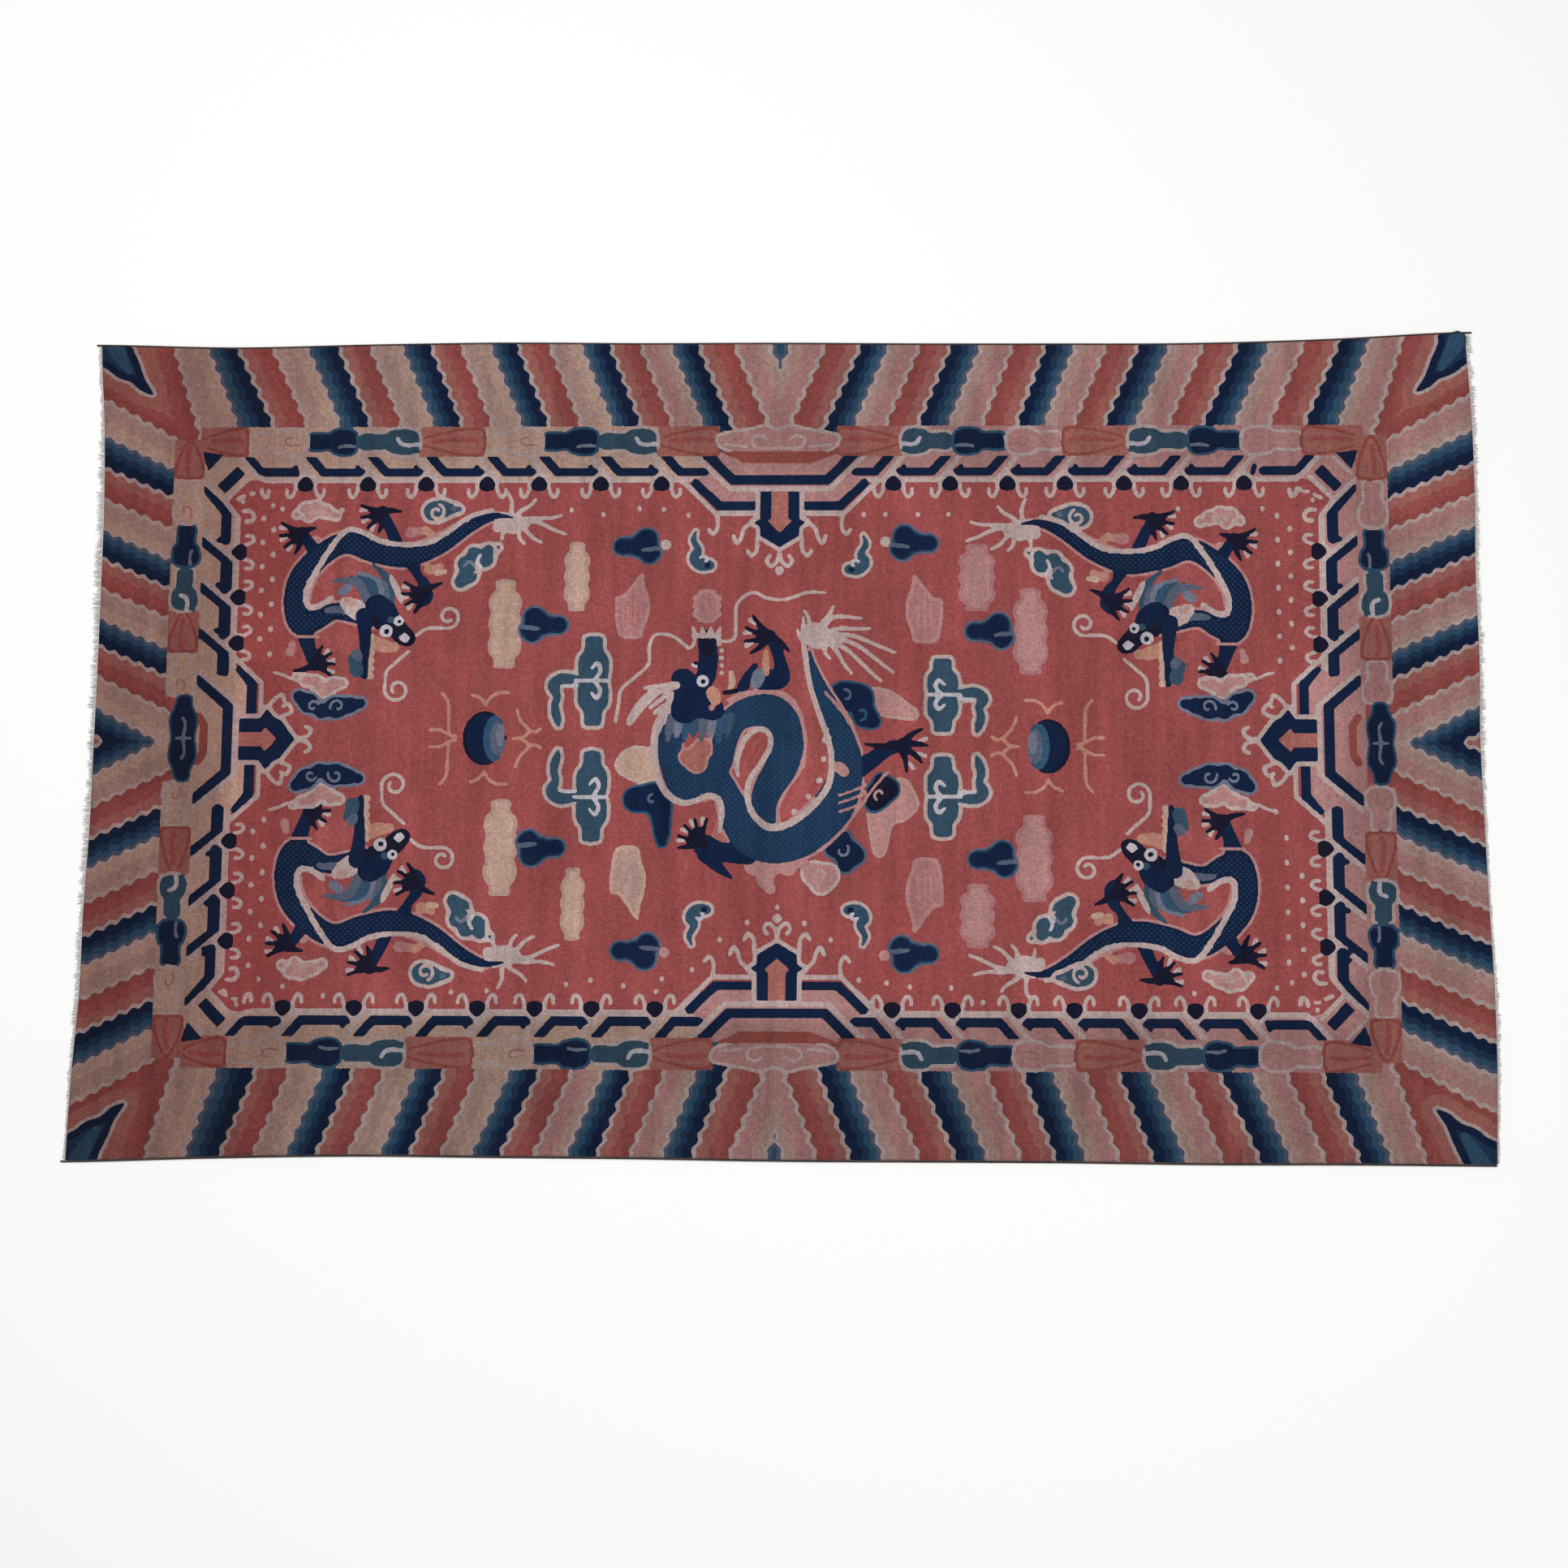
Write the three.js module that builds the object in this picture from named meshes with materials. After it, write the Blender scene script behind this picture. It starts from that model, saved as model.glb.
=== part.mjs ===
// A hand-knotted chinese rug laid flat: the knotted cloth, an overcast edge along each
// long side, and a frayed row of cotton warp ends on each short end. Millimetres, +Z up.
// X runs along the rug and Y across it. The underside lies on z = 0, and the origin is
// under the middle of the whole rug.

import * as THREE from 'three';

// Main sizes
const rugLength = 2600; // between the straight lines that the two ends drift from
const rugWidth = 1524; // between the lines that the two sides drift from
const clothThickness = 8; // foundation and pile together
const shoulderHeight = 5; // where the pile begins to round over at the rim
const edgeRound = 4; // how far in the rim is rounded
const lie = 0.6; // how far the worn pile rises and falls
const seam = 0.3; // between neighbouring pieces

// Overcast edges
const overcastDiameter = 4;
const overcastSides = 8;

// Warp ends
const tuftsPerEnd = 125;
const webWidth = 3; // the narrow woven strip that holds the roots
const webThickness = 2.5;
const tuftShare = 0.6; // how much of the pitch a tuft's root takes
const tipShare = 0.55; // a tip's width over its root's width
const tipHeight = 1.2;
const tuftLean = 1.6; // how far a tip strays sideways
const frayShare = 0.45; // how uneven the tufts are, over their mean length
const webEndGap = 1; // short of the corner, clear of the overcast edge

// Cells of the cloth along and across
const cellsAlong = 44;
const cellsAcross = 26;

// How the long sides drift: millimetres outwards, from the left end to the right end
const sideDrift = [
  { front: 9, back: 2 },
  { front: 1, back: -4 },
  { front: -4, back: 1 },
  { front: -3, back: 4 },
  { front: -2, back: 2 },
  { front: 1, back: 2 },
  { front: 1, back: 0 },
  { front: 1, back: -1 },
  { front: 3, back: -1 },
  { front: 2, back: 6 },
  { front: 3, back: 19 },
];

// How the short ends drift, from the front side to the back side: millimetres inwards,
// and how far the warp ends reach out there
const endDrift = [
  { left: 7, right: 5, leftWarps: 6, rightWarps: 5 },
  { left: 11, right: 0, leftWarps: 8, rightWarps: 8 },
  { left: 19, right: 0, leftWarps: 11, rightWarps: 8 },
  { left: 20, right: 5, leftWarps: 11, rightWarps: 6 },
  { left: 25, right: 9, leftWarps: 14, rightWarps: 7 },
  { left: 26, right: 12, leftWarps: 12, rightWarps: 11 },
  { left: 27, right: 9, leftWarps: 15, rightWarps: 10 },
  { left: 27, right: 11, leftWarps: 15, rightWarps: 10 },
  { left: 26, right: 8, leftWarps: 16, rightWarps: 9 },
  { left: 20, right: 10, leftWarps: 9, rightWarps: 10 },
  { left: 9, right: 17, leftWarps: 8, rightWarps: 12 },
];

// How far each overcast edge runs on past the cloth's corners
const overcastTails = {
  front: { left: 10, right: 1 },
  back: { left: 11, right: 14 },
};

// A smooth curve through evenly spaced rows of a table, read at a share of its length
function smoothAlong(rows, column, at) {
  const last = rows.length - 1;
  const place = THREE.MathUtils.clamp(at, 0, 1) * last;
  const i = Math.min(Math.floor(place), last - 1);
  const t = place - i;
  const near = [i - 1, i, i + 1, i + 2].map((k) => {
    return rows[THREE.MathUtils.clamp(k, 0, last)][column];
  });
  const [a, b, c, d] = near;
  const slope = (c - a) * t;
  const bend = (2 * a - 5 * b + 4 * c - d) * t * t;
  const twist = (3 * b - a - 3 * c + d) * t * t * t;
  return 0.5 * (2 * b + slope + bend + twist);
}

// A repeatable number from 0 to 1 for each count
function uneven(count, kind) {
  const wave = Math.sin(count * 12.9898 + kind * 78.233) * 43758.5453;
  return wave - Math.floor(wave);
}

// The cloth's rim, by the share of the way along or across
function leftRim(across) {
  return -rugLength / 2 + smoothAlong(endDrift, 'left', across);
}

function rightRim(across) {
  return rugLength / 2 - smoothAlong(endDrift, 'right', across);
}

function frontRim(along) {
  return -rugWidth / 2 - smoothAlong(sideDrift, 'front', along);
}

function backRim(along) {
  return rugWidth / 2 + smoothAlong(sideDrift, 'back', along);
}

// A point of the cloth at its shares along and across, drawn in from the rim by inset
function clothPoint(along, across, inset, height) {
  const x = THREE.MathUtils.lerp(leftRim(across) + inset, rightRim(across) - inset, along);
  const y = THREE.MathUtils.lerp(frontRim(along) + inset, backRim(along) - inset, across);
  return [x, y, height];
}

// The worn pile's height, in long low swells
function pileHeight(along, across) {
  const first = Math.sin(7.1 * along + 1.3) * Math.sin(5.3 * across + 0.4);
  const second = Math.sin(15.7 * along - 6.2 * across);
  return clothThickness + lie * (0.65 * first + 0.35 * second);
}

// A mesh geometry from points and from faces of three or four corners each
function closedShape(points, faces, turned = false) {
  const index = [];
  for (const [a, b, c, d] of faces) {
    index.push(a, turned ? c : b, turned ? b : c);
    if (d !== undefined) {
      index.push(a, turned ? d : c, turned ? c : d);
    }
  }
  const geometry = new THREE.BufferGeometry();
  geometry.setAttribute('position', new THREE.Float32BufferAttribute(points.flat(), 3));
  geometry.setIndex(index);
  geometry.computeVertexNormals();
  return geometry;
}

function clothGeometry() {
  const points = [];
  const faces = [];
  for (let j = 0; j <= cellsAcross; j += 1) {
    for (let i = 0; i <= cellsAlong; i += 1) {
      const along = i / cellsAlong;
      const across = j / cellsAcross;
      points.push(clothPoint(along, across, edgeRound, pileHeight(along, across)));
    }
  }
  const row = cellsAlong + 1;
  for (let j = 0; j < cellsAcross; j += 1) {
    for (let i = 0; i < cellsAlong; i += 1) {
      const corner = j * row + i;
      faces.push([corner, corner + 1, corner + row + 1, corner + row]);
    }
  }

  // The rim's cells in order round the cloth, front side first
  const rim = [];
  for (let i = 0; i < cellsAlong; i += 1) {
    rim.push([i, 0]);
  }
  for (let j = 0; j < cellsAcross; j += 1) {
    rim.push([cellsAlong, j]);
  }
  for (let i = cellsAlong; i > 0; i -= 1) {
    rim.push([i, cellsAcross]);
  }
  for (let j = cellsAcross; j > 0; j -= 1) {
    rim.push([0, j]);
  }

  const shoulder = points.length;
  const foot = shoulder + rim.length;
  const middle = foot + rim.length;
  for (const height of [shoulderHeight, 0]) {
    for (const [i, j] of rim) {
      points.push(clothPoint(i / cellsAlong, j / cellsAcross, 0, height));
    }
  }
  points.push([0, 0, 0]);
  for (let k = 0; k < rim.length; k += 1) {
    const next = (k + 1) % rim.length;
    const top = rim[k][1] * row + rim[k][0];
    const nextTop = rim[next][1] * row + rim[next][0];
    faces.push([shoulder + k, shoulder + next, nextTop, top]);
    faces.push([foot + k, foot + next, shoulder + next, shoulder + k]);
    faces.push([middle, foot + next, foot + k]);
  }
  return closedShape(points, faces);
}

// An eight-sided cord laid beside a long side, flat side down
function overcastGeometry(name) {
  const side = name === 'front' ? -1 : 1;
  const across = name === 'front' ? 0 : 1;
  const radius = overcastDiameter / 2;
  const cornerRadius = radius / Math.cos(Math.PI / overcastSides);
  const centres = [];
  for (let cell = 0; cell <= cellsAlong; cell += 1) {
    const [x, y] = clothPoint(cell / cellsAlong, across, 0, 0);
    centres.push([x, y + side * (seam + radius)]);
  }
  const [firstX, firstY] = centres[0];
  const [lastX, lastY] = centres[cellsAlong];
  centres.unshift([firstX - overcastTails[name].left, firstY]);
  centres.push([lastX + overcastTails[name].right, lastY]);
  const points = [];
  const faces = [];
  for (const [x, y] of centres) {
    for (let corner = 0; corner < overcastSides; corner += 1) {
      const angle = ((corner + 0.5) / overcastSides) * 2 * Math.PI;
      points.push([
        x,
        y + cornerRadius * Math.cos(angle),
        radius + cornerRadius * Math.sin(angle),
      ]);
    }
  }
  for (let step = 0; step < centres.length - 1; step += 1) {
    for (let corner = 0; corner < overcastSides; corner += 1) {
      const here = step * overcastSides + corner;
      const beside = step * overcastSides + ((corner + 1) % overcastSides);
      faces.push([here, beside, beside + overcastSides, here + overcastSides]);
    }
  }
  const lastRing = (centres.length - 1) * overcastSides;
  for (let corner = 1; corner < overcastSides - 1; corner += 1) {
    faces.push([0, corner + 1, corner]);
    faces.push([lastRing, lastRing + corner, lastRing + corner + 1]);
  }
  return closedShape(points, faces);
}

// A narrow strip of web with the frayed warps standing out of it, flat on the floor
function warpEndGeometry(name) {
  const side = name === 'left' ? -1 : 1;
  const rimX = name === 'left' ? leftRim : rightRim;
  const corner = name === 'left' ? 0 : 1;
  const startY = frontRim(corner) + webEndGap;
  const endY = backRim(corner) - webEndGap;
  const pitch = (endY - startY) / tuftsPerEnd;
  const points = [];
  const faces = [];
  const acrossAt = (y) => (y - frontRim(corner)) / (backRim(corner) - frontRim(corner));
  const innerX = (y) => rimX(acrossAt(y)) + side * seam;

  // Four corners of the web at each side of each root, and at both ends
  const stations = [startY];
  for (let tuft = 0; tuft < tuftsPerEnd; tuft += 1) {
    const middle = startY + pitch * (tuft + 0.5);
    stations.push(middle - (pitch * tuftShare) / 2, middle + (pitch * tuftShare) / 2);
  }
  stations.push(endY);
  for (const y of stations) {
    const x = innerX(y);
    points.push([x, y, 0], [x, y, webThickness]);
    points.push([x + side * webWidth, y, webThickness], [x + side * webWidth, y, 0]);
  }
  const last = (stations.length - 1) * 4;
  faces.push([0, 3, 2, 1], [last, last + 1, last + 2, last + 3]);

  for (let station = 0; station < stations.length - 1; station += 1) {
    const here = station * 4;
    const next = here + 4;
    faces.push([here + 1, here + 2, next + 2, next + 1]);
    faces.push([here, next, next + 3, here + 3]);
    faces.push([here, here + 1, next + 1, next]);
    if (station % 2 === 0) {
      faces.push([here + 3, next + 3, next + 2, here + 2]);
      continue;
    }
    const tuft = (station - 1) / 2;
    const middle = (stations[station] + stations[station + 1]) / 2;
    const meanReach = smoothAlong(endDrift, `${name}Warps`, acrossAt(middle));
    const fray = 1 + frayShare * (2 * uneven(tuft, side) - 1);
    const reach = webWidth + Math.max(meanReach - webWidth, webWidth) * fray;
    const lean = tuftLean * (2 * uneven(tuft, side + 3) - 1);
    const halfTip = (pitch * tuftShare * tipShare) / 2;
    const tipX = innerX(middle) + side * reach;
    const tip = points.length;
    for (const tipY of [middle + lean - halfTip, middle + lean + halfTip]) {
      points.push([tipX, tipY, 0], [tipX, tipY, tipHeight]);
    }
    faces.push([here + 2, tip + 1, tip + 3, next + 2]);
    faces.push([here + 3, next + 3, tip + 2, tip]);
    faces.push([here + 3, tip, tip + 1, here + 2]);
    faces.push([next + 3, next + 2, tip + 3, tip + 2]);
    faces.push([tip, tip + 2, tip + 3, tip + 1]);
  }
  return closedShape(points, faces, side < 0);
}

const redWool = new THREE.MeshStandardMaterial({
  color: new THREE.Color(0.41, 0.07, 0.065),
  roughness: 0.95,
  metalness: 0,
});
const darkOvercast = new THREE.MeshStandardMaterial({
  color: new THREE.Color(0.05, 0.035, 0.03),
  roughness: 0.9,
  metalness: 0,
});
const greyCotton = new THREE.MeshStandardMaterial({
  color: new THREE.Color(0.48, 0.44, 0.4),
  roughness: 0.95,
  metalness: 0,
});

function namedMesh(name, geometry, material) {
  const mesh = new THREE.Mesh(geometry, material);
  mesh.name = name;
  return mesh;
}

const rug = new THREE.Group();
rug.add(namedMesh('knotted_cloth', clothGeometry(), redWool));
for (const side of ['front', 'back']) {
  rug.add(namedMesh(`${side}_overcast_edge`, overcastGeometry(side), darkOvercast));
}
for (const end of ['left', 'right']) {
  rug.add(namedMesh(`${end}_warp_ends`, warpEndGeometry(end), greyCotton));
}

// The whole rug is moved so that its middle stands over the origin
const middle = new THREE.Box3().setFromObject(rug).getCenter(new THREE.Vector3());
rug.position.set(-middle.x, -middle.y, 0);

export default rug;
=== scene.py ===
# A hand-knotted chinese rug lying flat: five dragons, clouds and two flaming pearls on a
# red field, a fret, a row of small clouds, and a border of standing water.
# Sizes are in millimetres until they reach a mesh. X runs along the rug and Y across it.

import math

import bpy
import numpy as np
from mathutils import Euler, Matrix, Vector
from mathutils.geometry import delaunay_2d_cdt


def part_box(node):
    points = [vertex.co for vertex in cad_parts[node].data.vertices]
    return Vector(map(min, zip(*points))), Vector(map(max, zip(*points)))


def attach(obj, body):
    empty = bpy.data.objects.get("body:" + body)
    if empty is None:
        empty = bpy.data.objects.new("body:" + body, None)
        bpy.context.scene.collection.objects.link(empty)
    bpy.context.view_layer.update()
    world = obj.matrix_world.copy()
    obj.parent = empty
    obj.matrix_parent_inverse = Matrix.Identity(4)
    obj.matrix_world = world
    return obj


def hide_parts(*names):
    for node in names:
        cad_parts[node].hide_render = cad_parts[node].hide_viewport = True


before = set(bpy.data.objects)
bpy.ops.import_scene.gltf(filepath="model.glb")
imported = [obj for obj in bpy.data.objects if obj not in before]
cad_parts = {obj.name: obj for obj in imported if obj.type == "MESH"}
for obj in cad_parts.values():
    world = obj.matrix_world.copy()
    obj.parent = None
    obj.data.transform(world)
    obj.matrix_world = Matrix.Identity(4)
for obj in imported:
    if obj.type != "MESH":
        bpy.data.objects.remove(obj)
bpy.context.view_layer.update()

# The knotted rug: wool tied knot by knot on cotton warps and wefts, then clipped short. It is one
# sheet, 8 mm thick, with colours that run through to its back. The weaver follows a chart, so the
# design is laid out first, one wool over another, and the mesh then follows the areas of each wool.

# The wools, with the light that each gives back in red, green and blue, faded as it is now
DYES = {
    "field red": (0.270, 0.0615, 0.0600),
    "rose red": (0.295, 0.0710, 0.0700),
    "brick red": (0.262, 0.0640, 0.0540),
    "madder": (0.315, 0.112, 0.095),
    "flame": (0.400, 0.190, 0.140),
    "pink": (0.370, 0.185, 0.180),
    "dusty pink": (0.335, 0.145, 0.148),
    "tan": (0.425, 0.276, 0.218),
    "sand": (0.370, 0.232, 0.202),
    "cream": (0.405, 0.307, 0.294),
    "pale": (0.430, 0.390, 0.420),
    "navy": (0.0028, 0.0110, 0.0400),
    "ink": (0.0050, 0.0055, 0.0190),
    "deep blue": (0.009, 0.030, 0.074),
    "mid blue": (0.024, 0.068, 0.125),
    "teal": (0.028, 0.062, 0.098),
    "slate": (0.077, 0.092, 0.136),
    "grey blue": (0.132, 0.142, 0.192),
}
NAMES = list(DYES)
NUMBER = {name: i for i, name in enumerate(NAMES)}

# The weaver's chart: a grid that is finer than the knots, over a little more than the cloth
STEP = 1.75
CHART_REACH_X, CHART_REACH_Y = 1330, 800
COLUMN_X = np.arange(-CHART_REACH_X, CHART_REACH_X, STEP) + STEP / 2
ROW_Y = np.arange(-CHART_REACH_Y, CHART_REACH_Y, STEP) + STEP / 2
chart = np.full((len(ROW_Y), len(COLUMN_X)), NUMBER["field red"], dtype=np.uint8)
# How far outside a shape its distance is still worked out, and a distance beyond all others
REACH = 30
FAR = 1e6


def window(points, margin):
    """Rows and columns of the chart that some points reach, and their coordinates."""
    xs, ys = points[:, 0], points[:, 1]
    first_column, last_column = np.searchsorted(COLUMN_X, (xs.min() - margin, xs.max() + margin))
    first_row, last_row = np.searchsorted(ROW_Y, (ys.min() - margin, ys.max() + margin))
    part = (slice(first_row, last_row), slice(first_column, last_column))
    gx, gy = np.meshgrid(COLUMN_X[part[1]], ROW_Y[part[0]])
    return part, gx, gy


def smoothed(points, closed=False, parts=6):
    """Points along a smooth curve through the given ones, so many parts between each two."""
    p = np.asarray(points, dtype=float)
    if len(p) < 3:
        return p
    if closed:
        before, after = np.roll(p, 1, axis=0), np.roll(p, -1, axis=0)
        starts, ends = p, after
        befores, afters = before, np.roll(p, -2, axis=0)
    else:
        starts, ends = p[:-1], p[1:]
        befores = np.vstack([p[:1], p[:-2]])
        afters = np.vstack([p[2:], p[-1:]])
    out = []
    for t in np.arange(parts) / parts:
        bend = 0.5 * (2 * starts + (ends - befores) * t
                      + (2 * befores - 5 * starts + 4 * ends - afters) * t ** 2
                      + (3 * starts - befores - 3 * ends + afters) * t ** 3)
        out.append(bend)
    line = np.stack(out, axis=1).reshape(-1, p.shape[1])
    return line if closed else np.vstack([line, p[-1:]])


def stroke(points, width=None, bent=True):
    """Signed distance to a tapering stroke. Rows hold x, y and, if width is not given, the width."""
    line = smoothed(points) if bent else np.asarray(points, dtype=float)
    if width is not None:
        line = np.column_stack([line[:, :2], np.full(len(line), float(width))])
    part, gx, gy = window(line, line[:, 2].max() / 2 + REACH)
    best = np.full(gx.shape, FAR)
    if len(line) == 1:
        line = np.vstack([line, line])
    for (ax, ay, aw), (bx, by, bw) in zip(line[:-1], line[1:]):
        dx, dy = bx - ax, by - ay
        size = dx * dx + dy * dy
        t = np.clip(((gx - ax) * dx + (gy - ay) * dy) / max(size, 1e-9), 0, 1)
        away = np.hypot(gx - ax - t * dx, gy - ay - t * dy) - (aw + t * (bw - aw)) / 2
        np.minimum(best, away, out=best)
    return part, best


def patch(points, bent=True):
    """Signed distance to a closed patch."""
    line = smoothed(points, closed=True) if bent else np.asarray(points, dtype=float)
    part, gx, gy = window(line, REACH)
    away = np.full(gx.shape, FAR)
    inside = np.zeros(gx.shape, dtype=bool)
    for (ax, ay), (bx, by) in zip(line[:, :2], np.roll(line[:, :2], -1, axis=0)):
        dx, dy = bx - ax, by - ay
        size = max(dx * dx + dy * dy, 1e-9)
        t = np.clip(((gx - ax) * dx + (gy - ay) * dy) / size, 0, 1)
        np.minimum(away, np.hypot(gx - ax - t * dx, gy - ay - t * dy), out=away)
        if ay != by:
            crosses = (ay > gy) != (by > gy)
            inside ^= crosses & (gx < ax + (gy - ay) / (by - ay) * dx)
    return part, np.where(inside, -away, away)


def knot(shape, dye, grow=0.0, over=None):
    """Ties one dye where the signed distance is less than grow."""
    part, away = shape
    area = chart[part]
    mask = away < grow
    if over is not None:
        mask &= np.isin(area, [NUMBER[name] for name in over])
    area[mask] = NUMBER[dye]


def ringed(shape, *layers):
    """Ties the layers of one shape, the widest first: dye and how far it grows."""
    for dye, grow in layers:
        knot(shape, dye, grow)


class Placed:
    """Takes a motif from its own coordinates to the chart's: turned, then mirrored, then moved."""
    def __init__(self, side=1, end=1, dx=0.0, dy=0.0, turned=False):
        self.side, self.end, self.dx, self.dy, self.turned = side, end, dx, dy, turned

    def __call__(self, points):
        p = np.array([list(row) for row in points], dtype=float)
        if self.turned:
            p[:, [0, 1]] = p[:, [1, 0]]
        p[:, 0] = self.side * p[:, 0] + self.dx
        p[:, 1] = self.end * p[:, 1] + self.dy
        return p


# The ground of the whole chart, measured from the middle of the field
FIELD_MIDDLE_X, FIELD_MIDDLE_Y = -7.0, 4.0
gx, gy = np.meshgrid(COLUMN_X, ROW_Y)
from_middle_x = np.abs(gx - FIELD_MIDDLE_X)
from_middle_y = np.abs(gy - FIELD_MIDDLE_Y)

# The standing water of the border. One wave from blue to blue: the share of it that each wool
# reaches, its wool where the rug is tan, and its wool where it is pink.
WAVE = (
    (0.110, "navy", "navy"),
    (0.180, "deep blue", "deep blue"),
    (0.248, "mid blue", "mid blue"),
    (0.290, "slate", "slate"),
    (0.330, "cream", "cream"),
    (0.44, "tan", "sand"),
    (0.61, "sand", "pink"),
    (0.655, "cream", "cream"),
    (0.73, "brick red", "brick red"),
    (0.84, "rose red", "rose red"),
    (0.955, "madder", "madder"),
    (1.00, "cream", "cream"),
)
# Where each blue stripe begins at the rim and at the clouds, counted outwards from the middle of the
# side, for each quarter: left or right, front or back
LONG_STRIPES = {
    (-1, 1): ((-215, -42, 155, 322, 497, 662, 838, 1030, 1215, 1395),
              (-270, -105, 92, 262, 435, 600, 773, 957, 1180, 1360)),
    (1, 1): ((-215, -42, 150, 320, 498, 672, 858, 1045, 1225, 1400),
             (-270, -105, 85, 258, 443, 607, 790, 980, 1185, 1365)),
    (-1, -1): ((-215, -42, 152, 325, 500, 665, 835, 1010, 1220, 1390),
               (-270, -105, 92, 262, 430, 605, 772, 950, 1185, 1360)),
    (1, -1): ((-215, -42, 135, 325, 505, 680, 870, 1050, 1230, 1400),
              (-270, -105, 78, 258, 447, 620, 802, 987, 1190, 1370)),
}
SHORT_STRIPES = {
    1: ((-160, 14, 185, 352, 526, 725, 905, 1085), (-228, -62, 125, 292, 467, 640, 820, 1000)),
    -1: ((-160, 10, 183, 363, 540, 730, 905, 1085), (-228, -62, 120, 300, 477, 650, 830, 1010)),
}
# How far out the tan of the left half is still pink, front and back
PINK_TO = {-1: 480, 1: 300}
SCALLOPS = 5.5
SCALLOP_DEPTH = 3.4
# The stripes run from the rim in to the clouds: where they start, and how far in they reach
LONG_RIM, LONG_DEPTH = 752, 150
SHORT_RIM, SHORT_DEPTH = 1272, 135
BAND_FROM_X, BAND_FROM_Y = 1060, 541
# The corner line, where the stripes of the two sides run into each other
CORNER_IN, CORNER_OUT = (1120, 590), (1275, 762)
QUARTERS = tuple((side, end) for side in (-1, 1) for end in (-1, 1))


def wave_dyes(place, share, stripes, tan_or_pink, change=0):
    """The dye at each place along a side and share of the way in. Before the change the wool is pink."""
    rim, inner = stripes
    phase = np.zeros(place.shape)
    wool = np.full(place.shape, tan_or_pink)
    scallop = SCALLOP_DEPTH * np.sin(2 * math.pi * SCALLOPS * share)
    for k in range(len(rim) - 1):
        start = rim[k] + (inner[k] - rim[k]) * share + scallop
        stop = rim[k + 1] + (inner[k + 1] - rim[k + 1]) * share + scallop
        here = (place >= start) & (place < stop)
        phase[here] = ((place - start) / (stop - start))[here]
        if rim[k] < change:
            wool[here] = 1
    step = np.searchsorted([row[0] for row in WAVE[:-1]], phase, side="right")
    return np.array([[NUMBER[name] for name in row[1:]] for row in WAVE])[step, wool]


long_share = np.clip((LONG_RIM - np.abs(gy)) / LONG_DEPTH, -0.1, 1.3)
short_share = np.clip((SHORT_RIM - np.abs(gx)) / SHORT_DEPTH, -0.1, 1.3)
corner_line = ((np.abs(gx) - CORNER_IN[0]) * (CORNER_OUT[1] - CORNER_IN[1])
               - (np.abs(gy) - CORNER_IN[1]) * (CORNER_OUT[0] - CORNER_IN[0]))
in_band = (from_middle_x > BAND_FROM_X) | (from_middle_y > BAND_FROM_Y)
for side, end in QUARTERS:
    pink = int(side > 0)
    quarter = in_band & (gx * side > 0) & (gy * end > 0)
    along = quarter & (corner_line <= 0)
    across = quarter & (corner_line > 0)
    stripes = LONG_STRIPES[side, end]
    chart[along] = wave_dyes(np.abs(gx)[along], long_share[along], stripes, pink, PINK_TO[end])
    chart[across] = wave_dyes(np.abs(gy)[across], short_share[across], SHORT_STRIPES[end], pink)

# At each corner two blue stripes run together into one tongue
TONGUE = ((1188, 668), (1205, 697), (1217, 728), (1232, 762), (1240, 800), (1360, 800), (1340, 738),
          (1287, 722), (1258, 702), (1232, 692), (1213, 676))
TONGUE_LIGHT = ((1236, 714, 14), (1252, 738, 24), (1268, 768, 34))
for side, end in QUARTERS:
    at = Placed(side, end)
    ringed(patch(at(TONGUE)), ("madder", 27), ("cream", 6.5), ("navy", 0), ("deep blue", -13))
    knot(stroke(at(TONGUE_LIGHT)), "mid blue")

# The ground of the fret, tan on the left and pink on the right, and the red field inside it
PALE_MIDDLE_X, PALE_REACH_X, PALE_REACH_Y = -6.5, 1082, 552
RED_MIDDLE_Y, RED_REACH_X, RED_REACH_Y, RED_REACH_ASLANT = 1, 1012, 500, 1488
for side, dye in ((-1, "tan"), (1, "pink")):
    near = (gx * side > 0) & (np.abs(gx - PALE_MIDDLE_X) < PALE_REACH_X) & (np.abs(gy) < PALE_REACH_Y)
    chart[near] = NUMBER[dye]
away_x, away_y = np.abs(gx - PALE_MIDDLE_X), np.abs(gy - RED_MIDDLE_Y)
inside = (away_x < RED_REACH_X) & (away_y < RED_REACH_Y) & (away_x + away_y < RED_REACH_ASLANT)
chart[inside] = NUMBER["field red"]

# The fret: dark bars between cream lines, each bar slanting outwards to a joint with a drop and two
# hooks. How far the joints lie from the middle of their side, for each quarter:
LONG_JOINTS = {
    (-1, 1): (222, 336, 452, 550, 665, 775, 893),
    (1, 1): (212, 318, 425, 532, 642, 748, 865),
    (-1, -1): (222, 338, 442, 547, 659, 773, 904),
    (1, -1): (210, 320, 440, 541, 658, 760, 873),
}
SHORT_JOINTS = {
    (-1, 1): (188, 275, 362),
    (1, 1): (185, 272, 362),
    (-1, -1): (185, 277, 370),
    (1, -1): (195, 285, 375),
}
# The right end of the fret lies closer to the middle than the left one
FRET_SHIFT = {-1: 0, 1: -13}
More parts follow.
